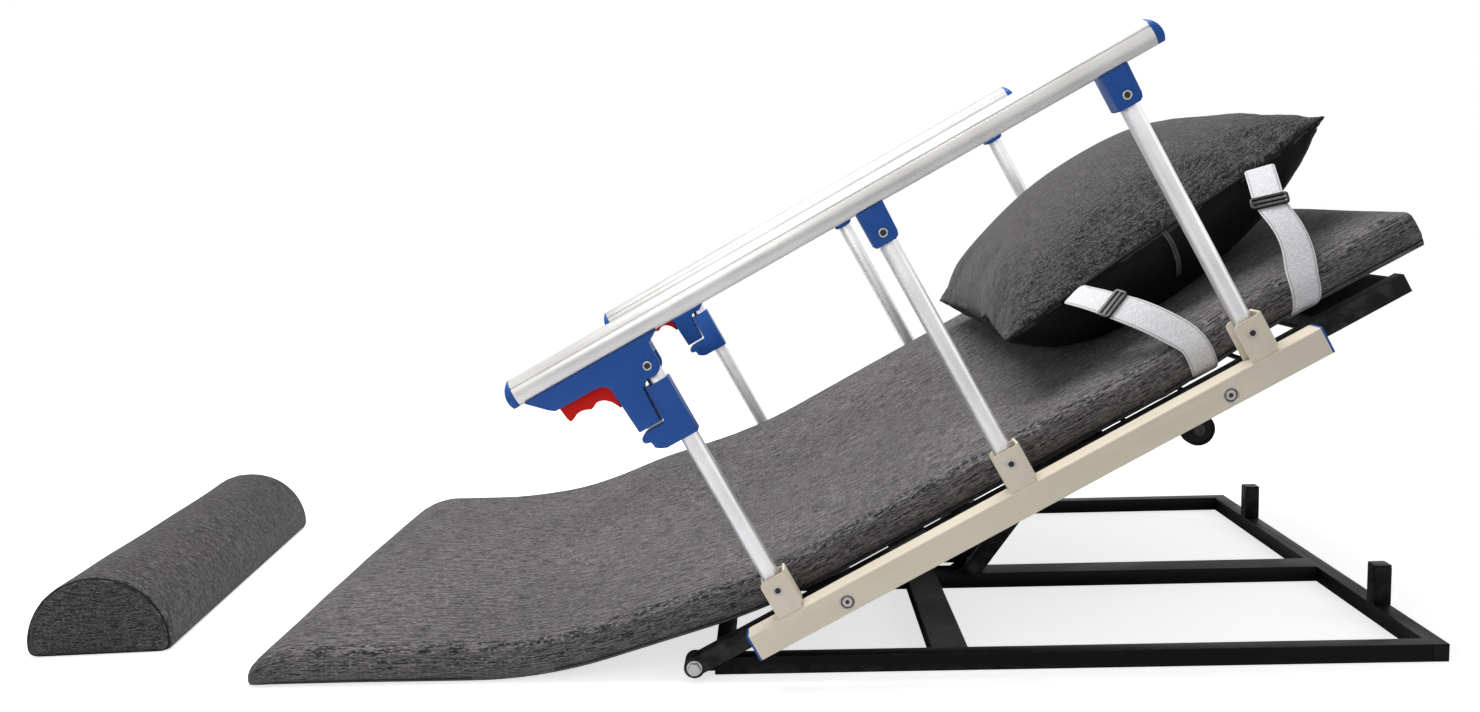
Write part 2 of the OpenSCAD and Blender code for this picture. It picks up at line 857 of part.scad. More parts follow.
// Roller between the arms, with a groove in each of its sides
module lift_roller() {
    color(black_plastic) on_arm() translate([arm_l, 0, 0]) rotate([90, 0, 0]) difference() {
        cylinder(r = roller_r, h = roller_w, center = true);
        cylinder(r = axle_r + run_gap, h = roller_w + 2 * over, center = true);
        for (side = [-1, 1]) translate([0, 0, side * roller_w / 2]) difference() {
            cylinder(r = roller_r - tread, h = 2 * groove_d, center = true);
            cylinder(r = axle_r + roller_hub, h = 2 * groove_d + over, center = true);
        }
    }
}

// WHEELS

module wheel_lugs() {
    color(black_steel) on_backrest() both_sides(side_y0 + wheel_lug_t / 2)
        translate([wheel_at, 0, 0]) across(wheel_lug_t) difference() {
            union() {
                translate([0, wheel_n]) circle(wheel_lug_r);
                translate([-wheel_lug_r, wheel_n]) square([2 * wheel_lug_r, -wheel_n - tube / 2]);
            }
            translate([0, wheel_n]) circle(bolt_d / 2);
        }
}

// Shouldered bolt through each wheel, its round head outside
module wheel_bolts() {
    outside = side_y0 + wheel_lug_t + wheel_w + 2 * near_gap;
    color(zinc) on_backrest() for (side = [-1, 1])
        translate([wheel_at, side * outside, wheel_n]) rotate([-90 * side, 0, 0]) {
            difference() {
                cylinder(r = wheel_bolt_head_r, h = wheel_bolt_head_t);
                translate([0, 0, wheel_bolt_head_t / 2])
                    linear_extrude(wheel_bolt_head_t) hexagon(wheel_bolt_key);
            }
            translate([0, 0, side_y0 - outside]) cylinder(d = bolt_d, h = outside - side_y0);
        }
}

// Plain wheel with a raised rim and hub
module wheel(side) {
    inside = side_y0 + wheel_lug_t + near_gap;
    color(black_plastic) on_backrest()
        translate([wheel_at, side * inside, wheel_n]) rotate([-90 * side, 0, 0]) difference() {
            cylinder(r = wheel_r, h = wheel_w);
            translate([0, 0, -over]) cylinder(d = bolt_d + 2 * run_gap, h = wheel_w + 2 * over);
            translate([0, 0, wheel_w - wheel_web]) difference() {
                cylinder(r = wheel_r - wheel_rim, h = wheel_web + over);
                translate([0, 0, -over]) cylinder(r = wheel_hub_r, h = wheel_web + 3 * over);
            }
        }
}
module near_wheel() { wheel(-1); }
module far_wheel() { wheel(1); }

// GUARD RAILS

// Square tubes along the outside of the backrest frame, with access holes for their bolts
module rail_tubes() {
    low = [-rail_tube / 2, rail_low];
    thin = rail_tube - 2 * rail_wall;
    color(cream_paint) on_backrest() for (side = [-1, 1]) difference() {
        translate([rail_tube_r, side * rail_y, 0]) rotate([90, 0, 90]) linear_extrude(rail_tube_l)
            difference() {
                round_rect(low, [rail_tube, rail_tube], rail_edge);
                round_rect(low + [rail_wall, rail_wall], [thin, thin], rail_edge - rail_wall);
            }
        for (r = rail_bolt_rs) translate([r, side * rail_y, rail_bolt_n]) rotate([-90 * side, 0, 0]) {
            cylinder(r = access_r, h = rail_tube);
            translate([0, 0, -rail_tube]) cylinder(r = rail_bolt_d / 2 + run_gap, h = rail_tube);
        }
    }
}

// Blue plugs that close both ends of each square tube
module rail_tube_caps() {
    low = -rail_tube / 2;
    seat = rail_wall + near_gap;
    inner = rail_tube - 2 * seat;
    color(blue_plastic) on_backrest() both_sides(rail_y)
        for (end = [[rail_tube_r, -1], [rail_tube_r + rail_tube_l, 1]])
            translate([end[0], 0, 0]) rotate([90, 0, 90 * end[1]]) {
                linear_extrude(cap_t) round_rect([low, rail_low], [rail_tube, rail_tube], rail_edge);
                translate([0, 0, -plug_l]) linear_extrude(plug_l)
                    round_rect([low + seat, rail_low + seat], [inner, inner], plug_edge);
            }
}

// Rings between the backrest frame and the square tubes
module rail_spacers() {
    color(black_plastic) on_backrest() both_sides(side_y1 + spacer_l / 2)
        for (r = rail_bolt_rs) translate([r, 0, rail_bolt_n]) difference() {
            rod_across(spacer_r, spacer_l);
            rod_across(rail_bolt_d / 2 + run_gap, spacer_l + 2 * over);
        }
}

// Socket screws in cup washers that clamp the base tubes to the backrest
module rail_bolts() {
    floor_z = -rail_cup_depth;
    shank_l = rail_tube + spacer_l + tube_wall + over;
    color(zinc) on_backrest() for (side = [-1, 1], r = rail_bolt_rs)
        translate([r, side * (rail_y + rail_tube / 2), rail_bolt_n]) rotate([-90 * side, 0, 0]) {
            difference() {
                translate([0, 0, -rail_cup_t]) cylinder(r = access_r - run_gap, h = rail_cup_t);
                translate([0, 0, floor_z]) cylinder(
                    r1 = rail_bolt_head_r + rail_cup_edge / 2,
                    r2 = access_r - rail_cup_edge,
                    h = rail_cup_depth + run_gap
                );
            }
            difference() {
                translate([0, 0, floor_z]) cylinder(r = rail_bolt_head_r, h = rail_bolt_head_t);
                translate([0, 0, floor_z + rail_bolt_head_t / 2])
                    linear_extrude(rail_bolt_head_t) hexagon(rail_bolt_key);
            }
            translate([0, 0, -shank_l]) cylinder(d = rail_bolt_d, h = shank_l - rail_cup_t + over);
        }
}

// Folded steel bracket round the foot of a post, open towards the foot end
module post_bracket() {
    side_w = cheek_gap + 2 * bracket_t;
    drop = pin_n0 - rail_high;
    difference() {
        translate([0, 0, pin_n0]) across(side_w) polygon(share_points(
            bracket_shares,
            [-bracket_front, -drop],
            [bracket_front + bracket_back, drop + bracket_rise]
        ));
        translate([-bracket_front - over, -cheek_gap / 2, rail_high - over])
            cube([
                bracket_front + bracket_back - bracket_t + over, cheek_gap, drop + bracket_rise + 2 * over
            ]);
        translate([0, 0, pin_n0]) rod_across(pin_d / 2, side_w + 2 * over);
    }
}

module post_brackets() {
    color(cream_paint) on_backrest() both_sides(rail_y)
        for (k = [0 : 2]) translate([post_r0 + k * post_pitch, 0, 0]) post_bracket();
}

module bracket_pins() {
    color(zinc) on_backrest() both_sides(rail_y)
        for (k = [0 : 2]) translate([post_r0 + k * post_pitch, 0, pin_n0])
            pin_shape(cheek_gap + 2 * bracket_t);
}

// Hollow-ended rivet pin
module pin_shape(w) {
    difference() {
        rod_across(pin_d / 2, w);
        both_sides(w / 2) rod_across(pin_d / 2 - pin_wall, 2 * pin_recess);
    }
}

// Round tube with a cross hole at each pin
module post(side, k) {
    whole = post_l + post_below + post_above;
    color(silver) on_backrest() translate([post_r0 + k * post_pitch, side * rail_y, pin_n0])
        difference() {
            translate([0, 0, -post_below]) cylinder(d = post_d, h = whole);
            translate([0, 0, -post_below - over])
                cylinder(r = post_d / 2 - tube_wall, h = whole + 2 * over);
            for (z = [0, post_l]) translate([0, 0, z])
                rod_across(pin_d / 2 + run_gap, post_d + 2 * over);
        }
}
module near_foot_post() { post(-1, 0); }
module near_middle_post() { post(-1, 1); }
module near_head_post() { post(-1, 2); }
module far_foot_post() { post(1, 0); }
module far_middle_post() { post(1, 1); }
module far_head_post() { post(1, 2); }

// Blue sleeve on the foot post with a hook that reaches under the latch housing's leg
module latch_socket(side) {
    color(blue_plastic) on_backrest() translate([post_r0, side * rail_y, pin_n0]) difference() {
        across(socket_w) polygon(share_points(
            hook_shares, [-hook_reach, socket_low], [hook_reach + socket_back, socket_h]
        ));
        translate([0, 0, socket_low - over]) cylinder(d = post_d, h = socket_h + 2 * over);
    }
}
module near_latch_socket() { latch_socket(-1); }
module far_latch_socket() { latch_socket(1); }

// Section of the top rail, drawn in Y and Z with its flat seat on y = 0
module rail_section(inset) {
    difference() {
        translate([0, rail_cut]) circle(rail_round - inset, $fn = 72);
        translate([-rail_round, -2 * rail_round + inset]) square(2 * rail_round);
    }
}

module top_rail(side) {
    color(silver) on_backrest() translate([rail_r0, side * rail_y, rail_n]) rotate([90, 0, 90])
        linear_extrude(top_rail_l) difference() {
            rail_section(0);
            rail_section(rail_wall);
            for (turn = [28, 152])
                translate([0, rail_cut]) rotate(turn) translate([rail_round, 0])
                    circle(rail_groove, $fn = 16);
        }
}
module near_top_rail() { top_rail(-1); }
module far_top_rail() { top_rail(1); }

// Domed end caps, deeper at the bottom than at the top
module rail_caps(side) {
    top = rail_cut + rail_round;
    color(blue_plastic) on_backrest() translate([0, side * rail_y, rail_n])
        for (end = [[rail_r0, -1], [rail_r0 + top_rail_l, 1]]) translate([end[0], 0, 0]) {
            intersection() {
                rotate([90, 0, 90 * end[1]]) linear_extrude(cap_dome + over) rail_section(0);
                scale([end[1], 1, 1]) across(3 * rail_round) intersection() {
                    translate([cap_dome - top, top * cap_high_share]) circle(top);
                    translate([0, -top]) square([2 * top, 3 * top]);
                }
            }
            rotate([90, 0, -90 * end[1]]) linear_extrude(plug_l) rail_section(rail_wall + near_gap);
        }
}
module near_rail_caps() { rail_caps(-1); }
module far_rail_caps() { rail_caps(1); }

// Clevis under the top rail for the middle and the head post, open towards the head end
module clevis() {
    difference() {
        across(clevis_w) polygon(share_points(
            clevis_shares, [-clevis_half, -clevis_low], [2 * clevis_half, clevis_low + rail_seat]
        ));
        translate([clevis_wall - clevis_half, -cheek_gap / 2, -clevis_low - over])
            cube([2 * clevis_half, cheek_gap, clevis_low + clevis_web + over]);
        rod_across(pin_d / 2, clevis_w + 2 * over);
    }
}

// Latch housing: a long nose under the rail, a leg beside the post and two cheeks round its top
module latch_housing() {
    room_high = sqrt(lobe_room * lobe_room - housing_open * housing_open);
    difference() {
        across(housing_w) {
            polygon(share_points(
                housing_shares,
                [-housing_nose, -leg_drop],
                [housing_nose + housing_tab, leg_drop + rail_seat]
            ));
            circle(lobe_r);
        }
        rod_across(pin_d / 2, housing_w + 2 * over);
        across(cheek_gap) {
            circle(lobe_room);
            translate([-housing_open, -leg_drop]) square([housing_open + housing_tab, leg_drop]);
            translate([0, -lobe_r]) square([housing_tab, lobe_r + room_high]);
        }
        translate([trigger_at - trigger_room, -trigger_w / 2 - trigger_room, -leg_drop / 2])
            cube([trigger_l + 2 * trigger_room, trigger_w + 2 * trigger_room, leg_drop / 2 + slot_high]);
    }
}

module rail_fittings(side) {
    color(blue_plastic) on_backrest() translate([0, side * rail_y, pin_n1]) {
        translate([post_r0, 0, 0]) latch_housing();
        for (k = [1, 2]) translate([post_r0 + k * post_pitch, 0, 0]) clevis();
    }
}
module near_rail_fittings() { rail_fittings(-1); }
module far_rail_fittings() { rail_fittings(1); }

module top_pins(side) {
    color(zinc) on_backrest() translate([0, side * rail_y, pin_n1]) {
        translate([post_r0, 0, 0]) pin_shape(housing_w);
        for (k = [1, 2]) translate([post_r0 + k * post_pitch, 0, 0]) pin_shape(clevis_w);
    }
}
module near_top_pins() { top_pins(-1); }
module far_top_pins() { top_pins(1); }

// Points of a shallow arch between two places, in shares
function arch(from, to, rise) = [
    for (k = [0 : 7]) from + (to - from) * k / 8 + [0, rise * sin(180 * k / 8)]
];

// Trigger with two finger waves, sliding up into the housing
module trigger(side) {
    shares = concat(
        [[0, 1], [0, 0.7], [0.02, 0.45], [0.045, 0.34]],
        arch([0.07, 0.317], [0.504, 0.334], 0.1),
        arch([0.504, 0.334], [0.8, 0.36], 0.075),
        [[0.8, 0.36], [0.887, 0.24], [0.94, 0.1], [0.975, 0], [1, 0.03], [1, 1]]
    );
    color(red_plastic) on_backrest() translate([post_r0, side * rail_y, pin_n1]) across(trigger_w)
        polygon(share_points(shares, [trigger_at, trigger_low], [trigger_l, trigger_high - trigger_low]));
}
module near_trigger() { trigger(-1); }
module far_trigger() { trigger(1); }

// Steel tongue under the foot of the latch leg
module near_latch_tongue() {
    from = post_r0 - clevis_half - clevis_wall / 2;
    color(zinc) on_backrest() translate([from - tongue_l, -rail_y, pin_n1 - leg_drop - tongue_t])
        bar([0, -tongue_w / 2, 0], [tongue_l, tongue_w, tongue_t]);
}

// PILLOW AND STRAPS

// Height of the pillow's seam above the hinge axis; u runs from -1 to 1 along the backrest
function seam_n(u) = seam_heights[1]
    + (seam_heights[2] - seam_heights[0]) / 2 * u
    + ((seam_heights[2] + seam_heights[0]) / 2 - seam_heights[1]) * u * u;

// Fullness of the pillow: 0 on the seam and 1 at its middle
function full(u, v) = pow(max(0, (1 - u * u) * (1 - v * v)), full_power);

function pillow_x(u, v) = pillow_r + pillow_l / 2 * u * (1 - pillow_draw_share * (1 - v * v));
function pillow_y(u, v) = pillow_w / 2 * v * (1 - pillow_draw_share * (1 - u * u));
function pillow_top(u, v) = seam_n(u) + pillow_rise * full(u, v);
function pillow_low(u, v) = let (r = pillow_x(u, v)) max(
    pad_low(r) + pad_t + pad_crown + pillow_room + far_back(r) * far_share(pillow_y(u, v)),
    seam_n(u) - pillow_depth * full(u, v)
);

// Closed two-sided cushion over a square grid, its points moved towards the seam
module pillow() {
    steps = pillow_steps;
    count = steps + 1;
    params = [for (i = [0 : steps]) sin(90 * (2 * i / steps - 1))];
    top = [for (u = params, v = params) [pillow_x(u, v), pillow_y(u, v), pillow_top(u, v)]];
    inside = [for (i = [1 : steps - 1], j = [1 : steps - 1]) let (u = params[i], v = params[j])
        [pillow_x(u, v), pillow_y(u, v), pillow_low(u, v)]];
    low = function (i, j) (i == 0 || j == 0 || i == steps || j == steps)
        ? i * count + j
        : count * count + (i - 1) * (steps - 1) + j - 1;
    high = function (i, j) i * count + j;
    faces = [for (i = [0 : steps - 1], j = [0 : steps - 1]) let (
        a = [i, j],
        b = [i, j + 1],
        c = [i + 1, j + 1],
        d = [i + 1, j],
        turned = (i < steps / 2) == (j < steps / 2),
        first = turned ? [a, b, c] : [a, b, d],
        second = turned ? [a, c, d] : [b, c, d]
    ) each [
        for (corners = [first, second]) each [
            [for (k = [0 : 2]) high(corners[k][0], corners[k][1])],
            [for (k = [2 : -1 : 0]) low(corners[k][0], corners[k][1])]
        ]
    ]];
    color(fabric) on_backrest() polyhedron(concat(top, inside), faces);
}

// Route of strap k as [r, y, n]: from the pillow's seam with a slack bulge to the pad's edge,
// round the edge with a constant gap, and under the pad to the mid-plane
strap_r = pad_edge + strap_gap + strap_t / 2;
function strap_route(k) = let (
    r0 = strap_rs[k],
    r1 = strap_edge_rs[k],
    u = (r0 - pillow_r) / (pillow_l / 2),
    start = [r0, pillow_w / 2 * (1 - pillow_draw_share * (1 - u * u)) + strap_start, seam_n(u)],
    edge_y = pad_w / 2 - pad_edge,
    high = pad_low(r1 + strap_w / 2) + pad_t - pad_edge,
    bottom = pad_low(r1 - strap_w / 2) + pad_edge,
    lean = 38,
    meet = [r1, edge_y + strap_r * cos(lean), high + strap_r * sin(lean)],
    along = meet - start,
    out = [0, -along[2], along[1]] / norm([along[1], along[2]])
) concat(
    [for (i = [0 : strap_steps]) let (t = i / strap_steps)
        start + along * t + out * strap_bulge * sin(180 * t)],
    [for (turn = [20, 0]) [r1, edge_y + strap_r * cos(turn), high + strap_r * sin(turn)]],
    [for (turn = [0 : -30 : -90]) [r1, edge_y + strap_r * cos(turn), bottom + strap_r * sin(turn)]],
    [[r1, 0, bottom - strap_r]]
);

// Ribbon along a route, flat across r, its thickness square to the route and its ends cut along r
module ribbon(route) {
    last = len(route) - 1;
    skin([for (k = [0 : last]) let (
        p = route[k],
        q = route[min(k + 1, last)] - route[max(k - 1, 0)],
        l = norm([q[1], q[2]]),
        out = [0, q[2] / l, -q[1] / l] * strap_t / 2,
        skew = k > 0 && k < last ? q[0] / (l * l) : 0,
        half = [strap_w / 2, 0, 0] - [0, q[1], q[2]] * skew * strap_w / 2
    ) [p + half + out, p - half + out, p - half - out, p + half - out]]);
}

// One strap from seam to seam: the far half is the near half mirrored
module pillow_straps() {
    color(webbing) on_backrest() for (k = [0, 1]) {
        half = strap_route(k);
        last = len(half) - 1;
        ribbon(concat(
            [for (i = [0 : last - 1]) [half[i][0], -half[i][1], half[i][2]]],
            [for (i = [last : -1 : 0]) half[i]]
        ));
    }
}

// Three-bar slider buckle across each strap
module strap_buckles() {
    long = strap_w + buckle_over;
    color(black_plastic) on_backrest() for (side = [-1, 1], k = [0, 1]) {
        route = strap_route(k);
        p = route[buckle_step];
        q = route[buckle_step + 1] - route[buckle_step - 1];
        fall = atan2(-q[2], q[1]);
        swing = atan2(q[0], norm([q[1], q[2]]));
        window = (buckle_w - 3 * buckle_wire) / 2;
        translate([p[0], side * p[1], p[2]]) mirror([0, side > 0 ? 0 : 1, 0])
            rotate([-fall, 0, 0]) rotate([0, 0, -swing])
                translate([0, 0, strap_t / 2 + near_gap]) linear_extrude(buckle_wire) difference() {
                    round_rect([-long / 2, -buckle_w / 2], [long, buckle_w], buckle_edge);
                    for (y = [-buckle_wire / 2 - window, buckle_wire / 2])
                        translate([-long / 2 + buckle_wire, y]) square([long - 2 * buckle_wire, window]);
                }
    }
}

// BOLSTER

// D-shaped section with rounded lower corners, as [across, up]
function bolster_outline(shrink) = let (
    half = bolster_w / 2 - shrink,
    high = bolster_h - shrink - bolster_side
) [
    for (k = [0 : 20]) let (turn = -8 + 196 * k / 20)
        [half * cos(turn), max(0, bolster_side + high * sin(turn))],
    for (share = [-bolster_low_share, -bolster_low_share / 2, bolster_low_share / 2, bolster_low_share])
        [half * share, 0]
];

module bolster() {
    shrink_shares = [1, 0.5, 0.2, 0];
    depth_shares = [0, 0.15, 0.4, 1];
    ring = function (y, shrink) [for (p = bolster_outline(shrink)) [p[0], y, p[1]]];
    rings = concat(
        [for (k = [0 : 3]) ring(bolster_round_l * depth_shares[k], bolster_round * shrink_shares[k])],
        [ring(bolster_l / 2, -bolster_swell)],
        [for (k = [3 : -1 : 0])
            ring(bolster_l - bolster_round_l * depth_shares[k], bolster_round * shrink_shares[k])]
    );
    color(fabric) translate([pad_start_x - bolster_gap, bolster_y, 0]) rotate(bolster_turn)
        translate([0, -bolster_l / 2, 0]) skin(rings);
}

base_frame();
base_plugs();
rest_posts();
post_caps();
hinge_lugs();
hinge_bolts();
bearing_plates();
motor_bracket();
gearbox();
lift_motor();
motor_cap();
motor_screws();
pad_foot();
pad_bend();
bolster();
backrest_sides();
backrest_crossbars();
frame_plugs();
hinge_bushes();
support_rods();
head_board();
lift_track();
rail_tubes();
rail_tube_caps();
rail_spacers();
rail_bolts();
post_brackets();
bracket_pins();
wheel_lugs();
wheel_bolts();
near_wheel();
far_wheel();
pad_ties();
pad_back();
pillow();
pillow_straps();
strap_buckles();
lift_arms();
lift_shaft();
roller_axle();
lift_roller();
near_foot_post();
near_latch_socket();
near_middle_post();
near_head_post();
near_top_rail();
near_rail_fittings();
near_top_pins();
near_trigger();
near_rail_caps();
near_latch_tongue();
far_foot_post();
far_latch_socket();
far_middle_post();
far_head_post();
far_top_rail();
far_rail_fittings();
far_top_pins();
far_trigger();
far_rail_caps();
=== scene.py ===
import math
import json
import bpy
import numpy as np
from mathutils import Vector, Matrix


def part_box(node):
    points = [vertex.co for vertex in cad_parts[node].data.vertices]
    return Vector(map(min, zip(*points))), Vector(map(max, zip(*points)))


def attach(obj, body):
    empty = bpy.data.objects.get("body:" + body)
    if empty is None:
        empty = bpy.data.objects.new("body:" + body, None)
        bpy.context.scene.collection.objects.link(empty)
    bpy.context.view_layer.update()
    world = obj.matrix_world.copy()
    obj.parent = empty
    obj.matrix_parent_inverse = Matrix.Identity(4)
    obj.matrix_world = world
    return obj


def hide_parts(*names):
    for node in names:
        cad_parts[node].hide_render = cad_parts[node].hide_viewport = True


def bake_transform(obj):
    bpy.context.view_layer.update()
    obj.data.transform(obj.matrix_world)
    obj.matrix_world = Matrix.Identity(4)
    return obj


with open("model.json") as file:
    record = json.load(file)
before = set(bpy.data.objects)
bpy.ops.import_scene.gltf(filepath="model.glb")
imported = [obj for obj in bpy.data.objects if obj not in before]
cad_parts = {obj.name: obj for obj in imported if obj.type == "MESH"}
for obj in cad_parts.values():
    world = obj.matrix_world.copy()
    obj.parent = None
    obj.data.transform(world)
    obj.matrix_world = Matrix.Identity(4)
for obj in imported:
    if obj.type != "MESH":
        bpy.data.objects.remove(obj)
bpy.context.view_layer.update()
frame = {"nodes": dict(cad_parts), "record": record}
cadNodes = frame["nodes"]
record = frame["record"]
nodeBody = {node: body for body, nodes in record["behaviour"]["bodies"].items() for node in nodes}
nodeSlot = {part["node"]: part["material_slot"] for part in record["subparts"]}
print("frame loaded")


# Studio: the camera stands where the photographer stood, and three lamps light the part
cameraPlace = {
    "spot": (-0.1855, -1.7260, 0.5214), "yaw": -0.0280, "pitch": 0.1213, "roll": -0.0282,
    "lens": 31.38, "sensor": 36, "near": 0.01,
}
lamps = {
    "overheadSoftbox": {"spot": (-0.55, 0, 1.75), "aim": (-0.2, 0.05, 0.1), "size": (1.1, 1.3), "watts": 38},
    "frontFill": {"spot": (-1.6, -2.4, 1.3), "aim": (-0.1, 0, 0.3), "size": (1.6, 1.2), "watts": 11},
    "headSideStrip": {"spot": (2.2, -0.9, 1.3), "aim": (0.2, 0, 0.4), "size": (0.7, 1.6), "watts": 5},
}


def makeCamera(place):
    turn = Matrix.Rotation(-place["yaw"], 4, "Z") @ Matrix.Rotation(math.pi / 2 - place["pitch"], 4, "X")
    bpy.ops.object.camera_add()
    camera = bpy.context.object
    camera.name = "photoCamera"
    camera.matrix_world = Matrix.Translation(place["spot"]) @ turn @ Matrix.Rotation(place["roll"], 4, "Z")
    camera.data.sensor_width = place["sensor"]
    camera.data.lens = place["lens"]
    camera.data.clip_start = place["near"]
    bpy.context.scene.camera = camera


def makeLamp(name, spot, aim, size, watts):
    bpy.ops.object.light_add(type="AREA", location=spot)
    lamp = bpy.context.object
    lamp.name = name
    lamp.data.shape = "RECTANGLE"
    lamp.data.size, lamp.data.size_y = size
    lamp.data.energy = watts
    lamp.rotation_euler = (Vector(aim) - Vector(spot)).to_track_quat("-Z", "Y").to_euler()


makeCamera(cameraPlace)
for name, lamp in lamps.items():
    makeLamp(name, **lamp)


# Material helpers
def newNode(tree, kind, **values):
    node = tree.nodes.new(kind)
    for key, value in values.items():
        setattr(node, key, value)
    return node


# Links a node's output to a socket, or sets the socket to a constant
def feed(tree, socket, value):
    if hasattr(value, "is_linked"):
        tree.links.new(value, socket)
    else:
        socket.default_value = value


def setInputs(tree, node, **values):
    for key, value in values.items():
        feed(tree, node.inputs[key.replace("_", " ")], value)
    return node


def mathNode(tree, operation, a, b=None, c=None, clamp=False):
    node = newNode(tree, "ShaderNodeMath", operation=operation, use_clamp=clamp)
    for slot, value in enumerate((a, b, c)):
        if value is not None:
            feed(tree, node.inputs[slot], value)
    return node.outputs[0]


def mixColor(tree, factor, first, second, blend="MIX"):
    node = newNode(tree, "ShaderNodeMix", data_type="RGBA", blend_type=blend)
    feed(tree, node.inputs[0], factor)
    for slot, value in ((6, first), (7, second)):
        feed(tree, node.inputs[slot], (*value, 1) if isinstance(value, tuple) else value)
    return node.outputs[2]


def ramp(tree, value, low, high, first=0.0, second=1.0):
    node = newNode(tree, "ShaderNodeMapRange", interpolation_type="SMOOTHSTEP")
    setInputs(tree, node, Value=value, From_Min=low, From_Max=high, To_Min=first, To_Max=second)
    return node.outputs[0]


# A node group with a vector input, one more input, and number outputs
def newGroup(name, extra, kind, value, outputs):
    group = bpy.data.node_groups.new(name, "ShaderNodeTree")
    group.interface.new_socket("Vector", in_out="INPUT", socket_type="NodeSocketVector")
    group.interface.new_socket(extra, in_out="INPUT", socket_type=kind).default_value = value
    for label in outputs:
        group.interface.new_socket(label, in_out="OUTPUT", socket_type="NodeSocketFloat")
    return group, newNode(group, "NodeGroupInput"), newNode(group, "NodeGroupOutput")


def noise(tree, vector, scale, detail=3.0, roughness=0.5):
    node = newNode(tree, "ShaderNodeTexNoise")
    setInputs(tree, node, Vector=vector, Scale=scale, Detail=detail, Roughness=roughness)
    return node.outputs["Fac"]


def mapping(tree, vector, **values):
    return setInputs(tree, newNode(tree, "ShaderNodeMapping"), Vector=vector, **values).outputs["Vector"]


# Yarn of a melange cloth: long streaks along x, shorter ones across, pale slubs and the weave's relief
yarnLook = {
    "long": (0.16, 1.0, 1.0), "cross": (1.0, 0.3, 1.0), "slub": (0.25, 1.0, 1.0), "detail": 2.0, "rough": 0.6,
    "clumpScale": 0.34, "alongShare": 0.42, "acrossShare": 0.16, "clumpShare": 0.42,
    "streaks": (0.42, 0.60), "slubs": (0.58, 0.70), "acrossRelief": 0.5,
}


def makeYarnGroup(look):
    outputs = ("Streak", "Slub", "Height")
    group, start, end = newGroup("melangeYarn", "Yarn Scale", "NodeSocketFloat", 900.0, outputs)
    vector, scale = start.outputs["Vector"], start.outputs["Yarn Scale"]
    long, cross, slub = (mapping(group, vector, Scale=look[key]) for key in ("long", "cross", "slub"))
    along = noise(group, long, scale, look["detail"], look["rough"])
    across = noise(group, cross, scale, look["detail"], look["rough"])
    clump = noise(group, long, mathNode(group, "MULTIPLY", scale, look["clumpScale"]), look["detail"])
    streak = mathNode(group, "MULTIPLY", across, look["acrossShare"])
    streak = mathNode(group, "MULTIPLY_ADD", along, look["alongShare"], streak)
    streak = mathNode(group, "MULTIPLY_ADD", clump, look["clumpShare"], streak)
    streak = ramp(group, streak, *look["streaks"])
    slub = ramp(group, noise(group, slub, scale, detail=0.0), *look["slubs"])
    height = mathNode(group, "MULTIPLY_ADD", across, look["acrossRelief"], along)
    setInputs(group, end, Streak=streak, Slub=slub, Height=height)
    return group


# Worn edges and a little dust: the mask is high on convex edges, broken up by noise
def makeWearGroup():
    outputs = ("Edge", "Mottle", "Peel")
    group, start, end = newGroup("edgeWear", "Spread", "NodeSocketFloat", 1.0, outputs)
    vector = start.outputs["Vector"]
    geometry = newNode(group, "ShaderNodeNewGeometry")
    convex = ramp(group, geometry.outputs["Pointiness"], low=0.53, high=0.6)
    chips = ramp(group, noise(group, vector, scale=60.0, detail=4.0), low=0.42, high=0.62)
    edge = mathNode(group, "MULTIPLY", convex, chips)
    edge = mathNode(group, "MULTIPLY", edge, start.outputs["Spread"], clamp=True)
    mottle = ramp(group, noise(group, vector, scale=9.0, detail=4.0), low=0.3, high=0.7)
    setInputs(group, end, Edge=edge, Mottle=mottle, Peel=noise(group, vector, scale=900.0, detail=2.0))
    return group


# Fine lines drawn along the extrusion of an aluminium profile
def makeDrawnGroup():
    outputs = ("Lines", "Bloom")
    group, start, end = newGroup("drawnLines", "Stretch", "NodeSocketVector", (1.0, 1.0, 1.0), outputs)
    multiply = newNode(group, "ShaderNodeVectorMath", operation="MULTIPLY")
    feed(group, multiply.inputs[0], start.outputs["Vector"])
    feed(group, multiply.inputs[1], start.outputs["Stretch"])
    lines = noise(group, multiply.outputs[0], scale=900.0, roughness=0.6)
    bloom = ramp(group, noise(group, start.outputs["Vector"], scale=14.0), low=0.3, high=0.7)
    setInputs(group, end, Lines=lines, Bloom=bloom)
    return group


yarnGroup = makeYarnGroup(yarnLook)
wearGroup = makeWearGroup()
drawnGroup = makeDrawnGroup()


def startMaterial(name):
    material = bpy.data.materials.new(name)
    material.use_nodes = True
    tree = material.node_tree
    coords = newNode(tree, "ShaderNodeTexCoord")
    return material, tree, tree.nodes["Principled BSDF"], coords.outputs["Object"]


def placeGroup(tree, group, vector, **values):
    return setInputs(tree, newNode(tree, "ShaderNodeGroup", node_tree=group), Vector=vector, **values)


def uvPlace(tree, name):
    return newNode(tree, "ShaderNodeUVMap", uv_map=name).outputs[0]


def addBump(tree, shader, height, strength, distance):
    bump = newNode(tree, "ShaderNodeBump")
    setInputs(tree, bump, Height=height, Strength=strength, Distance=distance)
    setInputs(tree, shader, Normal=bump.outputs[0])


def tinted(color, factor, lift=0.0):
    return tuple(min(1, channel * factor + lift) for channel in color)


# A cloth with its yarn along the first axis of clothMap, and a dark seam thread where the seam map is near 0,
# with painted shade darkening the cloth beside the seam
clothLook = {"slubShare": 0.6, "threadTone": 0.3, "threadDeep": 1.5}


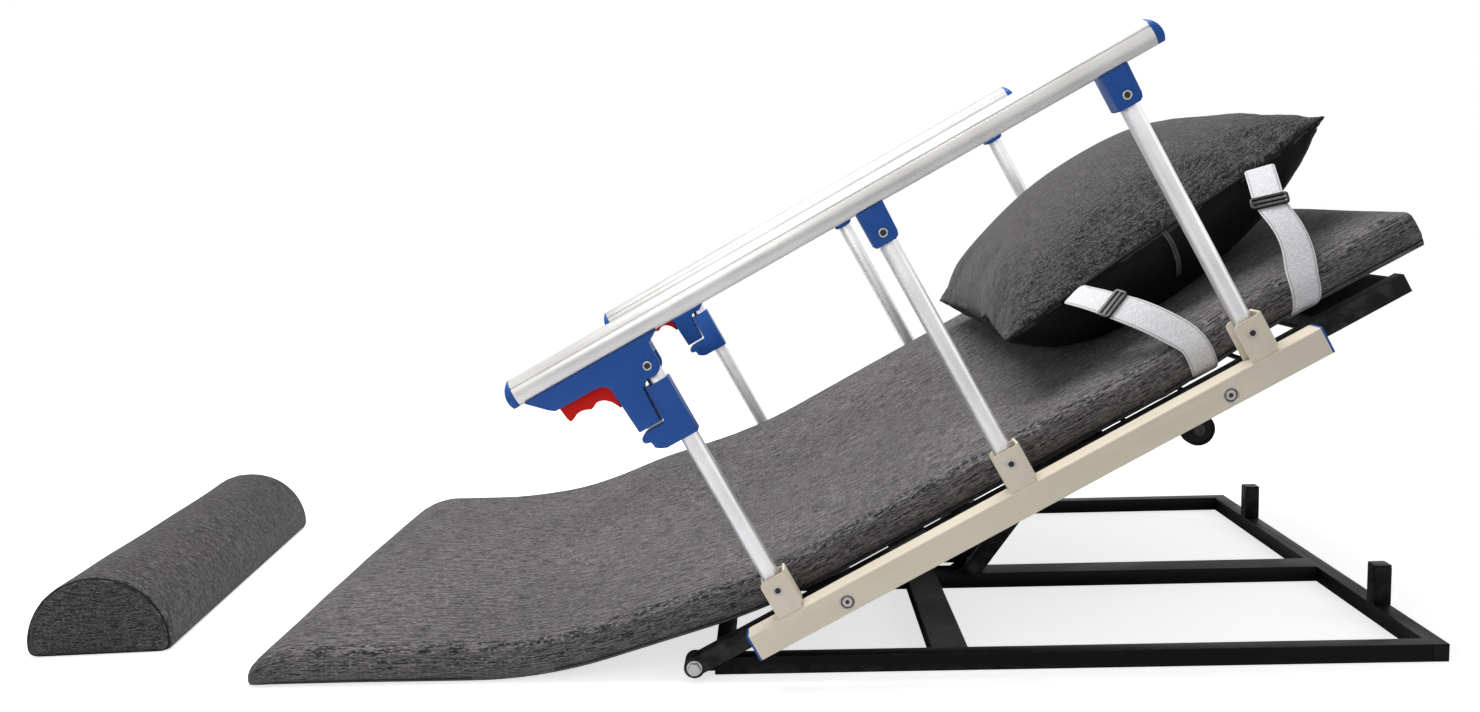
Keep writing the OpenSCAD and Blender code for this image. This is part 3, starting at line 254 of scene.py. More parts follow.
def melangeCloth(name, dark, light, slubTone, yarnScale, seam=""):
    look = clothLook
    material, tree, shader, vector = startMaterial(name)
    yarn = placeGroup(tree, yarnGroup, uvPlace(tree, "clothMap"), Yarn_Scale=yarnScale)
    tone = mixColor(tree, yarn.outputs["Streak"], dark, light)
    tone = mixColor(tree, mathNode(tree, "MULTIPLY", yarn.outputs["Slub"], look["slubShare"]), tone, slubTone)
    drift = ramp(tree, noise(tree, vector, scale=6.0), low=0.3, high=0.7, first=0.88, second=1.1)
    tone = mixColor(tree, 1.0, tone, drift, "MULTIPLY")
    height = yarn.outputs["Height"]
    if seam:
        split = setInputs(tree, newNode(tree, "ShaderNodeSeparateXYZ"), Vector=uvPlace(tree, seam))
        away = mathNode(tree, "ABSOLUTE", split.outputs[1])
        thread = ramp(tree, away, low=0.0006, high=0.0016)
        # Painted shade: the cloth darkens towards the seam line, standing in for shade in the seam's crease
        seamPaintedShade = ramp(tree, away, low=0.0, high=0.007, first=0.72, second=1.0)
        tone = mixColor(tree, 1.0, tone, seamPaintedShade, "MULTIPLY")
        tone = mixColor(tree, thread, tinted(dark, look["threadTone"]), tone)
        height = mathNode(tree, "MULTIPLY_ADD", thread, look["threadDeep"], height)
    setInputs(tree, shader, Base_Color=tone, Roughness=0.92, Specular_IOR_Level=0.2)
    setInputs(tree, shader, Sheen_Weight=0.12, Sheen_Roughness=0.5, Sheen_Tint=(0.75, 0.74, 0.76, 1))
    addBump(tree, shader, height, strength=0.6, distance=0.0005)
    return material


# A painted or moulded surface: a mottled tone, worn edges and a fine grain
powder = {
    "spread": 0.6, "mottle": 0.12, "mottleTone": (1.35, 0.012), "edge": 1.0,
    "roughSteps": (-0.04, 0.06), "grain": 0.12, "grainDeep": 0.0003,
}
plastic = {
    "spread": 0.5, "mottle": 0.25, "mottleTone": (0.86, 0.0), "edge": 0.35, "wornTone": (1.5, 0.03),
    "roughSteps": (-0.03, 0.05), "grain": 0.06, "grainDeep": 0.0002,
}


def coated(name, kind, color, roughness, gloss, worn=None, **own):
    look = {**kind, **own}
    material, tree, shader, vector = startMaterial(name)
    wear = placeGroup(tree, wearGroup, vector, Spread=look["spread"])
    mottle = mathNode(tree, "MULTIPLY", wear.outputs["Mottle"], look["mottle"])
    edge = mathNode(tree, "MULTIPLY", wear.outputs["Edge"], look["edge"])
    tone = mixColor(tree, mottle, color, tinted(color, *look["mottleTone"]))
    tone = mixColor(tree, edge, tone, worn or tinted(color, *look["wornTone"]))
    low, high = (roughness + step for step in look["roughSteps"])
    rough = ramp(tree, wear.outputs["Mottle"], 0, 1, low, high)
    setInputs(tree, shader, Base_Color=tone, Roughness=rough, Specular_IOR_Level=gloss)
    addBump(tree, shader, wear.outputs["Peel"], look["grain"], look["grainDeep"])
    return material


metalLook = {
    "bloomTone": 0.86, "lineShare": 0.35, "lineTone": 0.8, "roughStep": -0.03, "bloomRough": 0.06,
    "lineRough": 0.08, "lineDeep": 0.0002,
}


def satinMetal(name, color, roughness, stretch=(1.0, 1.0, 1.0), lines=0.1, slope=0.0):
    look = metalLook
    material, tree, shader, vector = startMaterial(name)
    drawn = placeGroup(tree, drawnGroup, mapping(tree, vector, Rotation=(0, slope, 0)), Stretch=stretch)
    bloom, line = drawn.outputs["Bloom"], drawn.outputs["Lines"]
    tone = mixColor(tree, bloom, tinted(color, look["bloomTone"]), color)
    lined = mathNode(tree, "MULTIPLY", line, look["lineShare"])
    tone = mixColor(tree, lined, tone, tinted(color, look["lineTone"]))
    rough = mathNode(tree, "MULTIPLY_ADD", bloom, look["bloomRough"], roughness + look["roughStep"])
    rough = mathNode(tree, "MULTIPLY_ADD", line, look["lineRough"], rough)
    setInputs(tree, shader, Base_Color=tone, Roughness=rough, Metallic=1.0)
    addBump(tree, shader, line, lines, look["lineDeep"])
    return material


# Woven band: cross ribs, lengthwise stripes, and a groove beside each edge
webLook = {
    "ribs": 3600.0, "stripes": 3200.0, "ribShare": 0.6, "stripeShare": 0.4, "fluff": (1.0, 0.3, 1.0),
    "fluffScale": 700.0, "fluffShare": 0.8, "weaveShare": 0.25, "tones": (0.1, 0.6), "grooveIn": 0.0022,
    "groove": (0.0002, 0.0010), "grooveTone": 0.85, "grooveDeep": 1.2, "bump": (0.6, 0.0004),
}


def webbing(name, color, shade, mapped="", halfWidth=0.015):
    look = webLook
    material, tree, shader, vector = startMaterial(name)
    if mapped:
        vector = uvPlace(tree, mapped)
    split = setInputs(tree, newNode(tree, "ShaderNodeSeparateXYZ"), Vector=vector)
    ribs = mathNode(tree, "SINE", mathNode(tree, "MULTIPLY", split.outputs[0], look["ribs"]))
    stripes = mathNode(tree, "SINE", mathNode(tree, "MULTIPLY", split.outputs[1], look["stripes"]))
    stripes = mathNode(tree, "MULTIPLY", stripes, look["stripeShare"])
    weave = mathNode(tree, "MULTIPLY_ADD", ribs, look["ribShare"], stripes)
    fluff = noise(tree, mapping(tree, vector, Scale=look["fluff"]), look["fluffScale"])
    across = mathNode(tree, "ABSOLUTE", split.outputs[1])
    fromEdge = mathNode(tree, "SUBTRACT", halfWidth - look["grooveIn"], across)
    groove = ramp(tree, mathNode(tree, "ABSOLUTE", fromEdge), *look["groove"])
    body = mathNode(tree, "MULTIPLY", weave, look["weaveShare"])
    body = mathNode(tree, "MULTIPLY_ADD", fluff, look["fluffShare"], body)
    tone = mixColor(tree, ramp(tree, body, *look["tones"]), shade, color)
    tone = mixColor(tree, groove, tinted(shade, look["grooveTone"]), tone)
    setInputs(tree, shader, Base_Color=tone, Roughness=0.8, Specular_IOR_Level=0.25)
    addBump(tree, shader, mathNode(tree, "MULTIPLY_ADD", groove, look["grooveDeep"], weave), *look["bump"])
    return material


slopeAngle = math.radians(28)
alongRail, alongPost = (0.03, 1.0, 1.0), (1.0, 1.0, 0.03)
finishes = {
    "black_paint": coated("blackPowder", powder, (0.006, 0.0055, 0.006), 0.48, 0.13, (0.04, 0.04, 0.042)),
    "black_plastic": coated("blackMoulding", plastic, (0.007, 0.007, 0.0075), 0.5, 0.15),
    "wheel_plastic": coated("wheelMoulding", plastic, (0.006, 0.006, 0.0065), 0.45, 0.15),
    "buckle_plastic": coated("buckleMoulding", plastic, (0.004, 0.004, 0.0045), 0.3, 0.3),
    "black_webbing": webbing("tieWebbing", (0.02, 0.02, 0.021), (0.008, 0.008, 0.008)),
    "zinc_steel": satinMetal("zincPlate", (0.52, 0.51, 0.49), 0.28),
    "bright_steel": satinMetal("groundSteel", (0.56, 0.56, 0.56), 0.25),
    "pad_fabric": melangeCloth(
        "padCloth", (0.011, 0.010, 0.011), (0.146, 0.136, 0.139), (0.27, 0.26, 0.26), 740.0, "seamMap"
    ),
    "pillow_fabric": melangeCloth(
        "pillowCloth", (0.009, 0.008, 0.009), (0.078, 0.073, 0.076), (0.18, 0.17, 0.17), 1250.0
    ),
    "bolster_fabric": melangeCloth(
        "bolsterCloth", (0.009, 0.008, 0.009), (0.084, 0.077, 0.081), (0.20, 0.19, 0.19), 740.0
    ),
    "white_webbing": webbing("strapWebbing", (0.78, 0.77, 0.79), (0.48, 0.47, 0.49), "strapMap"),
    "cream_paint": coated(
        "creamPowder", powder, (0.69, 0.62, 0.50), 0.5, 0.25, (0.74, 0.70, 0.61), grain=0.2, spread=0.4
    ),
    "red_plastic": coated("redMoulding", plastic, (0.60, 0.006, 0.002), 0.4, 0.15),
    "silver_aluminium": satinMetal("railAluminium", (0.70, 0.69, 0.675), 0.36, alongRail, 0.05, slopeAngle),
    "blue_plastic": coated("blueMoulding", plastic, (0.013, 0.082, 0.34), 0.38, 0.25),
}
lining = coated("blackLining", plastic, (0.005, 0.0045, 0.005), 0.7, 0.2, grain=0.3)
seamThread = coated("seamCord", plastic, (0.008, 0.007, 0.008), 0.8, 0.2, grain=0.5)
# Dark oiled steel for the lift shaft, roller and wheel bolts, also used as painted shade in the pins' bores
# and the bolts' key sockets
oiledSteelAndRecessShade = satinMetal("oiledSteelAndRecessShade", (0.05, 0.05, 0.052), 0.45)
postFinish = satinMetal("postAluminium", (0.86, 0.855, 0.865), 0.42, alongPost, 0.05, slopeAngle)


def nodeFinish(node):
    if node.endswith("_post"):
        return postFinish
    return oiledSteelAndRecessShade if node in ("lift_shaft", "lift_roller", "wheel_bolts") else finishes[nodeSlot[node]]


for node, piece in cadNodes.items():
    piece.data.materials.clear()
    piece.data.materials.append(nodeFinish(node))
print("finishes made")


# Mesh helpers
def deselectAll():
    if bpy.context.object and bpy.context.object.mode != "OBJECT":
        bpy.ops.object.mode_set(mode="OBJECT")
    bpy.ops.object.select_all(action="DESELECT")


def choose(piece):
    deselectAll()
    piece.select_set(True)
    bpy.context.view_layer.objects.active = piece


def addMesh(primitive, **values):
    deselectAll()
    primitive(**values)
    return bpy.context.object


def addGrid(rows, columns):
    return addMesh(bpy.ops.mesh.primitive_grid_add, x_subdivisions=rows, y_subdivisions=columns, size=1)


def applyModifiers(piece):
    choose(piece)
    for modifier in list(piece.modifiers):
        bpy.ops.object.modifier_apply(modifier=modifier.name)


def finishPiece(piece, name, slot, body, replaced=(), finish=None):
    piece.name = name
    choose(piece)
    bpy.ops.object.transform_apply(location=True, rotation=True, scale=True)
    piece.data.materials.clear()
    piece.data.materials.append(finish or finishes[slot])
    if body:
        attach(piece, body)
    if replaced:
        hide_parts(*replaced)


rounding = {
    "weld": 0.00002, "flat": math.radians(1), "sharp": math.radians(35), "smooth": math.radians(40),
    "segments": 2,
}


# Leaves a merged copy of a CAD piece open in edit mode, all selected
def copyNode(node):
    choose(cadNodes[node])
    bpy.ops.object.duplicate()
    piece = bpy.context.object
    piece.parent = None
    bpy.ops.object.mode_set(mode="EDIT")
    bpy.ops.mesh.select_all(action="SELECT")
    bpy.ops.mesh.remove_doubles(threshold=rounding["weld"])
    return piece


# Broken edges: a CAD piece is copied, its faces joined, and its edges rounded
loneEdges = {
    "post_brackets": 0.0008, "rail_tube_caps": 0.0006, "base_frame": 0.0012, "rest_posts": 0.0012,
    "post_caps": 0.0006, "backrest_crossbars": 0.0012, "head_board": 0.0012, "rail_tubes": 0.0016,
    "backrest_sides": 0.0012, "rail_bolts": 0.0004, "bracket_pins": 0.0003, "hinge_bolts": 0.0003,
    "wheel_bolts": 0.0003, "strap_buckles": 0.0009, "hinge_lugs": 0.0006, "wheel_lugs": 0.0006,
}
pairEdges = {
    "rail_fittings": 0.0012, "latch_socket": 0.0012, "trigger": 0.0012, "top_pins": 0.0003,
    "top_rail": 0.0003, "rail_caps": 0.0010, "foot_post": 0.0004, "middle_post": 0.0004,
    "head_post": 0.0004, "wheel": 0.0008,
}


def roundEdges(node, width):
    piece = copyNode(node)
    bpy.ops.mesh.dissolve_limited(angle_limit=rounding["flat"])
    bpy.ops.object.mode_set(mode="OBJECT")
    bevel = piece.modifiers.new("edgeRound", "BEVEL")
    bevel.width = width
    bevel.segments = rounding["segments"]
    bevel.limit_method = "ANGLE"
    bevel.angle_limit = rounding["sharp"]
    bevel.use_clamp_overlap = True
    bevel.harden_normals = False
    applyModifiers(piece)
    bpy.ops.object.shade_smooth_by_angle(angle=rounding["smooth"])
    finishPiece(piece, node + "_soft", nodeSlot[node], nodeBody[node], (node,), nodeFinish(node))


for node, width in loneEdges.items():
    roundEdges(node, width)
for node, width in pairEdges.items():
    roundEdges("near_" + node, width)
    roundEdges("far_" + node, width)
print("edges rounded")


# Pad: a long foam slab in a cover, laid on the floor and up the backrest
pad = {
    "hinge": (-0.2825, 0.016), "angle": slopeAngle, "seat": 0.012, "cornerBack": 0.169, "join": 0.110,
    "flat": 0.332, "turn": 0.080, "head": 0.893, "width": 0.740, "thick": 0.039,
    "turnPoints": 9, "slopePoints": 60, "liftFrom": 0.560, "liftOver": 0.190, "lift": 0.012,
    "farRise": 0.035, "farOver": 0.185, "farPast": 0.125, "farFrom": 0.500, "farTo": 0.615,
    "nearFootCorner": 0.014, "farFootCorner": 0.044, "headCorner": 0.006, "rim": 0.005, "nearby": 0.010,
    "step": 0.0075, "swell": (1.2, 0.003), "skin": 0.004, "seamUp": 0.007, "bandWeave": 2.4,
    "footRim": 0.016, "rimDrop": 0.011, "headShare": 0.35, "softTo": 0.9, "softOver": 0.3,
    "footRound": 0.060, "footDrop": 0.026, "footThin": 0.004,
    "crown": 0.003, "uneven": 0.001, "unevenSize": 0.22, "leastUp": 0.0005,
}
tiny = 0.00001


# The place of a point on the backrest: r up the slope from the hinge, n square to it
def backrestPoint(r, n):
    x, z = pad["hinge"]
    turn = pad["angle"]
    return (x + r * math.cos(turn) - n * math.sin(turn), z + r * math.sin(turn) + n * math.cos(turn))


def easeStep(u):
    v = np.clip(u, 0, 1)
    return v * v * (3 - 2 * v)


# Fall of a quarter round: 1 at its outer end, 0 where it meets the flat
def quarterFall(u):
    return 1 - np.sqrt(np.clip(1 - (1 - u) ** 2, 0, 1))


# Distance from a line's start to each of its points
def reachAlong(line):
    return np.concatenate([[0], np.cumsum(np.linalg.norm(np.diff(line, axis=0), axis=1))])


# The inner points of a line, each moved towards the middle of its neighbours
def softened(line):
    return (line[:-2] + 2 * line[1:-1] + line[2:]) / 4


# The places on a line at the given distances from its start
def resampled(line, reach, spots):
    return np.stack([np.interp(spots, reach, column) for column in line.T], axis=1)


def unit(vectors):
    return vectors / np.maximum(np.linalg.norm(vectors, axis=1, keepdims=True), tiny)


def padLow(r):
    return pad["seat"] + pad["lift"] * easeStep((r - pad["liftFrom"]) / pad["liftOver"])


# Underside of the pad as a list of points, from its foot end to its head end
def padRoute():
    cornerX = pad["hinge"][0] - pad["cornerBack"]
    joinX, joinZ = backrestPoint(pad["join"], pad["seat"])
    slope = math.atan2(joinZ, joinX - cornerX)
    points = [(cornerX - pad["flat"], 0.0), (cornerX - pad["turn"], 0.0)]
    for corner, before, after in (((cornerX, 0.0), 0.0, slope), ((joinX, joinZ), slope, pad["angle"])):
        radius = pad["turn"] / math.tan((after - before) / 2)
        start = (corner[0] - pad["turn"] * math.cos(before), corner[1] - pad["turn"] * math.sin(before))
        middle = (start[0] - radius * math.sin(before), start[1] + radius * math.cos(before))
        for turn in np.linspace(before, after, pad["turnPoints"]):
            points.append((middle[0] + radius * math.sin(turn), middle[1] - radius * math.cos(turn)))
    for r in np.linspace(pad["join"] + pad["turn"], pad["head"], pad["slopePoints"])[1:]:
        points.append(backrestPoint(r, padLow(r)))
    route = np.array(points)
    apart = np.linalg.norm(np.diff(route, axis=0), axis=1) > tiny
    return route[np.concatenate([[True], apart])]


# How far the pad's far side stands up, by the distance along the pad and across it
def farRise(along, across, length):
    r = pad["head"] - (length - along)
    near = easeStep((along - pad["flat"] + pad["farOver"]) / (pad["farOver"] + pad["farPast"]))
    end = 1 - easeStep((r - pad["farFrom"]) / (pad["farTo"] - pad["farFrom"]))
    return pad["farRise"] * near * end * easeStep(2 * across / pad["width"])


def bendAlong(points, route):
    reach = reachAlong(route)
    s = np.clip(points[:, 0], 0, reach[-1])
    over = points[:, 0] - s
    base = resampled(route, reach, s)
    ahead = unit(resampled(np.gradient(route, reach, axis=0), reach, s))
    out = points.copy()
    out[:, 0] = base[:, 0] + ahead[:, 0] * over - ahead[:, 1] * points[:, 2]
    out[:, 2] = base[:, 1] + ahead[:, 1] * over + ahead[:, 0] * points[:, 2]
    return out


def readPoints(piece):
    flat = np.empty(len(piece.data.vertices) * 3)
    piece.data.vertices.foreach_get("co", flat)
    return flat.reshape(-1, 3)


def writePoints(piece, points):
    piece.data.vertices.foreach_set("co", points.reshape(-1))
    piece.data.update()


# Leaves only those edges selected whose two ends pass the test, and opens edit mode on edges
def pickEdges(piece, test):
    choose(piece)
    bpy.ops.object.mode_set(mode="EDIT")
    bpy.ops.mesh.select_mode(type="EDGE")
    bpy.ops.mesh.select_all(action="DESELECT")
    bpy.ops.object.mode_set(mode="OBJECT")
    for edge in piece.data.edges:
        a, b = (piece.data.vertices[i].co for i in edge.vertices)
        edge.select = bool(test(a, b))
    bpy.ops.object.mode_set(mode="EDIT")


# Gives each vertex a place on the cloth, in metres, and stores it as a UV map
def mapCloth(piece, name, places):
    layer = piece.data.uv_layers.new(name=name)
    corners = np.empty(len(piece.data.loops), dtype=int)
    piece.data.loops.foreach_get("vertex_index", corners)
    layer.data.foreach_set("uv", places[corners].astype(np.float32).reshape(-1))


# A sum of sine waves in random directions, between -1 and 1, with wavelengths near the given size
noiseWaves = {"count": 7, "sizes": (0.6, 1.4)}


def smoothNoise(points, size, seed):
    spread = np.random.default_rng(seed)
    total = np.zeros(len(points))
    for _ in range(noiseWaves["count"]):
        wave = spread.normal(size=3)
        wave = wave / np.linalg.norm(wave) * (2 * math.pi / size) * spread.uniform(*noiseWaves["sizes"])
        total += np.sin(points @ wave + spread.uniform(0, 2 * math.pi))
    return total / noiseWaves["count"]


# Cloth under inner pressure: each point moves by the cap at most
clothSim = {"frames": 12, "quality": 5, "mass": 0.3, "tension": 15.0, "bending": 0.5}


def swell(piece, pressure, cap, shrink=0.0, pinned=None):
    start = readPoints(piece)
    cloth = piece.modifiers.new("swell", "CLOTH")
    settings = cloth.settings
    settings.use_pressure = True
    settings.uniform_pressure_force = pressure
    settings.effector_weights.gravity = 0
    settings.quality = clothSim["quality"]
    settings.mass = clothSim["mass"]
    settings.tension_stiffness = settings.compression_stiffness = clothSim["tension"]
    settings.bending_stiffness = clothSim["bending"]
    settings.shrink_min = shrink
    if pinned is not None:
        group = piece.vertex_groups.new(name="pinned")
        group.add([int(i) for i in np.flatnonzero(pinned)], 1.0, "REPLACE")
        settings.vertex_group_mass = "pinned"
    cloth.collision_settings.use_collision = False
    cloth.point_cache.frame_start, cloth.point_cache.frame_end = 1, clothSim["frames"]
    scene = bpy.context.scene
    for step in range(1, clothSim["frames"] + 1):
        scene.frame_set(step)
    applyModifiers(piece)
    scene.frame_set(1)
    moved = readPoints(piece) - start
    size = np.linalg.norm(moved, axis=1, keepdims=True)
    writePoints(piece, start + moved * np.minimum(1.0, cap / np.maximum(size, 1e-9)))


def padBlock(length):
    edge, near = pad["width"] / 2, pad["nearby"]
    piece = addMesh(bpy.ops.mesh.primitive_cube_add, size=1, location=(length / 2, 0, pad["thick"] / 2))
    piece.scale = (length, pad["width"], pad["thick"])
    bpy.ops.object.transform_apply(location=True, rotation=True, scale=True)
    bevels = (
        (pad["nearFootCorner"], 6, lambda a, b: abs(a.z - b.z) > near and a.x < near and a.y < 0),
        (pad["farFootCorner"], 8, lambda a, b: abs(a.z - b.z) > near and a.x < near and a.y > edge - near),
        (pad["headCorner"], 2, lambda a, b: abs(a.z - b.z) > near and a.x > length - near),
        (pad["rim"], 2, lambda a, b: abs(a.z - b.z) < tiny and min(a.x, b.x) <= length - near),
    )
    for width, segments, test in bevels:
        pickEdges(piece, test)
        bpy.ops.mesh.bevel(offset=width, segments=segments)
    bpy.ops.object.mode_set(mode="OBJECT")
    remesh = piece.modifiers.new("voxels", "REMESH")
    remesh.mode = "VOXEL"
    remesh.voxel_size = pad["step"]
    applyModifiers(piece)
    return piece


def makePad():
    route = padRoute()
    length = float(reachAlong(route)[-1])
    edge, thick = pad["width"] / 2, pad["thick"]
    piece = padBlock(length)
    swell(piece, *pad["swell"])
    points = readPoints(piece)
    along, across, up = points.T.copy()
    layer = np.stack([along, across], axis=1)
    side = np.abs(across) > edge - pad["skin"]
    foot, head = along < pad["skin"], along > length - pad["skin"]
    layer[side, 1] = np.sign(across[side]) * (edge + pad["bandWeave"] * (thick - up[side]))
    layer[:, 0] -= np.where(foot, pad["bandWeave"] * (thick - up), 0)
    seam = np.stack([along + across, np.where(side | foot | head, up - pad["seamUp"], thick)], axis=1)
    inward = np.clip(edge - np.abs(across), 0, pad["footRim"]) / pad["footRim"]
    fromFoot = np.clip(along / pad["footRound"], 0, 1)
    soft = 1 - easeStep((along - pad["softTo"]) / pad["softOver"])
    drop = pad["rimDrop"] * quarterFall(inward) * (pad["headShare"] + (1 - pad["headShare"]) * soft)
    drop += pad["footDrop"] * quarterFall(fromFoot) + pad["footThin"] * (1 - fromFoot)
    crown = pad["crown"] * np.clip(1 - (across / edge) ** 2, 0, 1)
    crown += pad["uneven"] * smoothNoise(points, pad["unevenSize"], 4)
    up += np.clip(up / thick, 0, 1) * (crown - drop)
    up = np.maximum(up + farRise(along, across, length), pad["leastUp"])
    writePoints(piece, bendAlong(np.stack([along, across, up], axis=1), route))
    bpy.ops.object.shade_smooth()
    mapCloth(piece, "clothMap", layer)
    mapCloth(piece, "seamMap", seam)
    finishPiece(piece, "padCover", "pad_fabric", None, ("pad_foot", "pad_bend", "pad_back"))
    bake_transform(piece)


makePad()
print("pad made")


# Pillow: two panels sewn along a knife edge, swollen by its filling, with a corded seam and a black lining
pillow = {
    "middle": 0.680, "length": 0.415, "width": 0.570, "drawIn": 0.05, "seam": (0.133, 0.154, 0.172),
    "seamPoints": 90, "seamSkip": 2, "quads": math.radians(60), "cuts": 3,
    "swell": (3.0, 0.0035), "shrink": -0.02, "pinned": 0.004,
    "fold": 0.015, "foldFrom": 0.4, "foldAt": -0.55, "foldWide": 0.22,
    "tip": 0.008, "tipU": 0.6, "tipV": 0.4, "under": 0.002, "underSeam": 0.003, "cord": 0.0013,
    "pucker": 0.00308, "puckerFrom": 0.008, "puckerLong": 0.030, "puckerSizes": (0.022, 0.05),
    "puckerShare": 0.8, "lumps": 0.0016, "lumpSize": 0.16, "lumpFrom": 0.05,
}


def toBackrest(points):
    x, z = points[:, 0] - pad["hinge"][0], points[:, 2] - pad["hinge"][1]
    c, s = math.cos(pad["angle"]), math.sin(pad["angle"])
    return np.stack([x * c + z * s, points[:, 1], z * c - x * s], axis=1)


def fromBackrest(points):
    x, z = backrestPoint(points[:, 0], points[:, 2])
    return np.stack([x, points[:, 1], z], axis=1)


# Shares of a place on the pillow: u runs from -1 at its foot edge to 1 at its head edge, v across
def pillowShares(points):
    u = (points[:, 0] - pillow["middle"]) / (pillow["length"] / 2)
    return u, points[:, 1] / (pillow["width"] / 2)


def seamHeight(u):
    foot, middle, head = pillow["seam"]
    return middle + (head - foot) / 2 * u + ((head + foot) / 2 - middle) * u * u


# Distance of the side seam from the mid-plane
def seamSide(u):
    return pillow["width"] / 2 * (1 - pillow["drawIn"] * (1 - u * u))


# The foot edge is pulled up beside its near corner, which hangs as an ear, and the near head corner stands up
def foldPillow(points):
    u, v = pillowShares(points)
    foot = easeStep((-u - pillow["foldFrom"]) / (1 - pillow["foldFrom"]))
    head = easeStep((u - pillow["tipU"]) / (1 - pillow["tipU"]))
    out = points.copy()
    out[:, 2] += pillow["fold"] * foot * np.exp(-(((v - pillow["foldAt"]) / pillow["foldWide"]) ** 2))
    out[:, 2] += pillow["tip"] * head * easeStep((-v - pillow["tipV"]) / (1 - pillow["tipV"]))
    return out


def pillowSeam():
    t = np.linspace(-1, 1, pillow["seamPoints"], endpoint=False)
    one = np.ones_like(t)
    u = np.concatenate([t, one, -t, -one])
    v = np.concatenate([-one, t, one, -t])
    r = pillow["middle"] + pillow["length"] / 2 * u * (1 - pillow["drawIn"] * (1 - v * v))
    return np.stack([r, seamSide(u) * v, seamHeight(u)], axis=1)


# A cord along a closed route, as a torus whose rings are moved onto it
torusWire = 0.1


def makeCord(name, route, radius, slot, body):
    rings = len(route)
    piece = addMesh(
        bpy.ops.mesh.primitive_torus_add,
        major_segments=rings, minor_segments=8, major_radius=1, minor_radius=torusWire,
    )
    points = readPoints(piece)
    ring = np.rint(np.arctan2(points[:, 1], points[:, 0]) / (2 * math.pi) * rings).astype(int) % rings
    out, up = np.hypot(points[:, 0], points[:, 1]) - 1, points[:, 2]
    ahead = unit(np.roll(route, -1, axis=0) - np.roll(route, 1, axis=0))
    outward = route - route.mean(axis=0)
    outward = unit(outward - (outward * ahead).sum(axis=1, keepdims=True) * ahead)
    upward = np.cross(ahead, outward)
    scale = radius / torusWire
    writePoints(piece, route[ring] + scale * (out[:, None] * outward[ring] + up[:, None] * upward[ring]))
    bpy.ops.object.shade_smooth()
    finishPiece(piece, name, slot, body, (), seamThread)


def makePillow():
    piece = copyNode("pillow")
    bpy.ops.mesh.tris_convert_to_quads(face_threshold=pillow["quads"], shape_threshold=pillow["quads"])
    bpy.ops.mesh.subdivide(number_cuts=pillow["cuts"], smoothness=1.0)
    bpy.ops.object.mode_set(mode="OBJECT")
    seam = pillowSeam()
    local = toBackrest(readPoints(piece))
    apart = local[:, None, :] - seam[None, ::pillow["seamSkip"], :]
    fromSeam = np.min(np.linalg.norm(apart, axis=2), axis=1)
    swell(piece, *pillow["swell"], pillow["shrink"], fromSeam < pillow["pinned"])
    local = toBackrest(readPoints(piece))
    level = seamHeight(pillowShares(local)[0])
    small, large = pillow["puckerSizes"]
    pucker = smoothNoise(local, small, 3) + pillow["puckerShare"] * smoothNoise(local, large, 8)
    pucker *= pillow["pucker"] * np.exp(-fromSeam / pillow["puckerLong"])
    local[:, 2] += pucker * easeStep(fromSeam / pillow["puckerFrom"])
    lumps = pillow["lumps"] * smoothNoise(local, pillow["lumpSize"], 5)
    lumps *= easeStep(fromSeam / pillow["lumpFrom"])
    local[:, 2] += lumps * (local[:, 2] > level)
    below = local[:, 2] < level - pillow["under"]
    cloth = np.stack([local[:, 0], local[:, 1] + np.where(below, 1.0, 0.0)], axis=1)
    writePoints(piece, fromBackrest(foldPillow(local)))
    bpy.ops.object.shade_smooth()
    mapCloth(piece, "clothMap", cloth)
    finishPiece(piece, "pillowCover", "pillow_fabric", "backrest", ("pillow",))
    piece.data.materials.append(lining)
    lined = below | (fromSeam < pillow["underSeam"])
    for face in piece.data.polygons:
        corners = list(face.vertices)
        face.material_index = int(lined[corners].all() and below[corners].any())
    makeCord("pillowSeam", fromBackrest(foldPillow(seam)), pillow["cord"], "pillow_fabric", "backrest")
    return piece


pillowPiece = makePillow()
print("pillow made")


# Straps: webbing from the pillow's seam, through a buckle, round the pad's edge and underneath
strap = {
    "from": (0.562, 0.805), "over": (0.630, 0.747), "width": 0.030, "thick": 0.0016, "gap": 0.0022,
    "bulge": 0.014, "start": 0.0025, "edge": 0.016, "lean": 38, "freePoints": 16,
    "topTurns": (28, 18, 8, 0), "lowTurns": (0, -18, -36, -54, -72, -90), "swing": (0.004, 0.018),
    "buckleStep": 6, "rows": 160, "columns": 7, "dense": 4, "smooth": 30,
}


# Half of a strap in the backrest's coordinates, from the pillow's seam to the mid-plane under the pad
def strapRoute(which):
    r0, r1 = strap["from"][which], strap["over"][which]
    u = (r0 - pillow["middle"]) / (pillow["length"] / 2)
    around = strap["edge"] + strap["gap"] + strap["thick"] / 2
    edgeY = pad["width"] / 2 - strap["edge"]
    high = padLow(r1 + strap["width"] / 2) + pad["thick"] - strap["edge"]
    bottom = padLow(r1 - strap["width"] / 2) + strap["edge"]

    def wrap(degrees, level):
        turn = math.radians(degrees)
        return [r1, edgeY + around * math.cos(turn), level + around * math.sin(turn)]

    start = np.array([r0, seamSide(u) + strap["start"], seamHeight(u)])
    along = np.array(wrap(strap["lean"], high)) - start
    out = np.array([0, -along[2], along[1]]) / math.hypot(along[1], along[2])
    points = []
    for t in np.linspace(0, 1, strap["freePoints"]):
        points.append(start + along * t + out * strap["bulge"] * math.sin(math.pi * t))
    points += [wrap(turn, high) for turn in strap["topTurns"]]
    points += [wrap(turn, bottom) for turn in strap["lowTurns"]]
    route = np.array(points)
    reach = reachAlong(route)
    buckle = reach[strap["buckleStep"]]
    free = np.clip((reach - buckle) / (reach[-1] - buckle), 0, 1)
    route[:, 0] += strap["swing"][which] * np.sin(math.pi * free)
    under = [[r1, edgeY * 0.5, bottom - around], [r1, 0, bottom - around]]
    return np.concatenate([route, under])


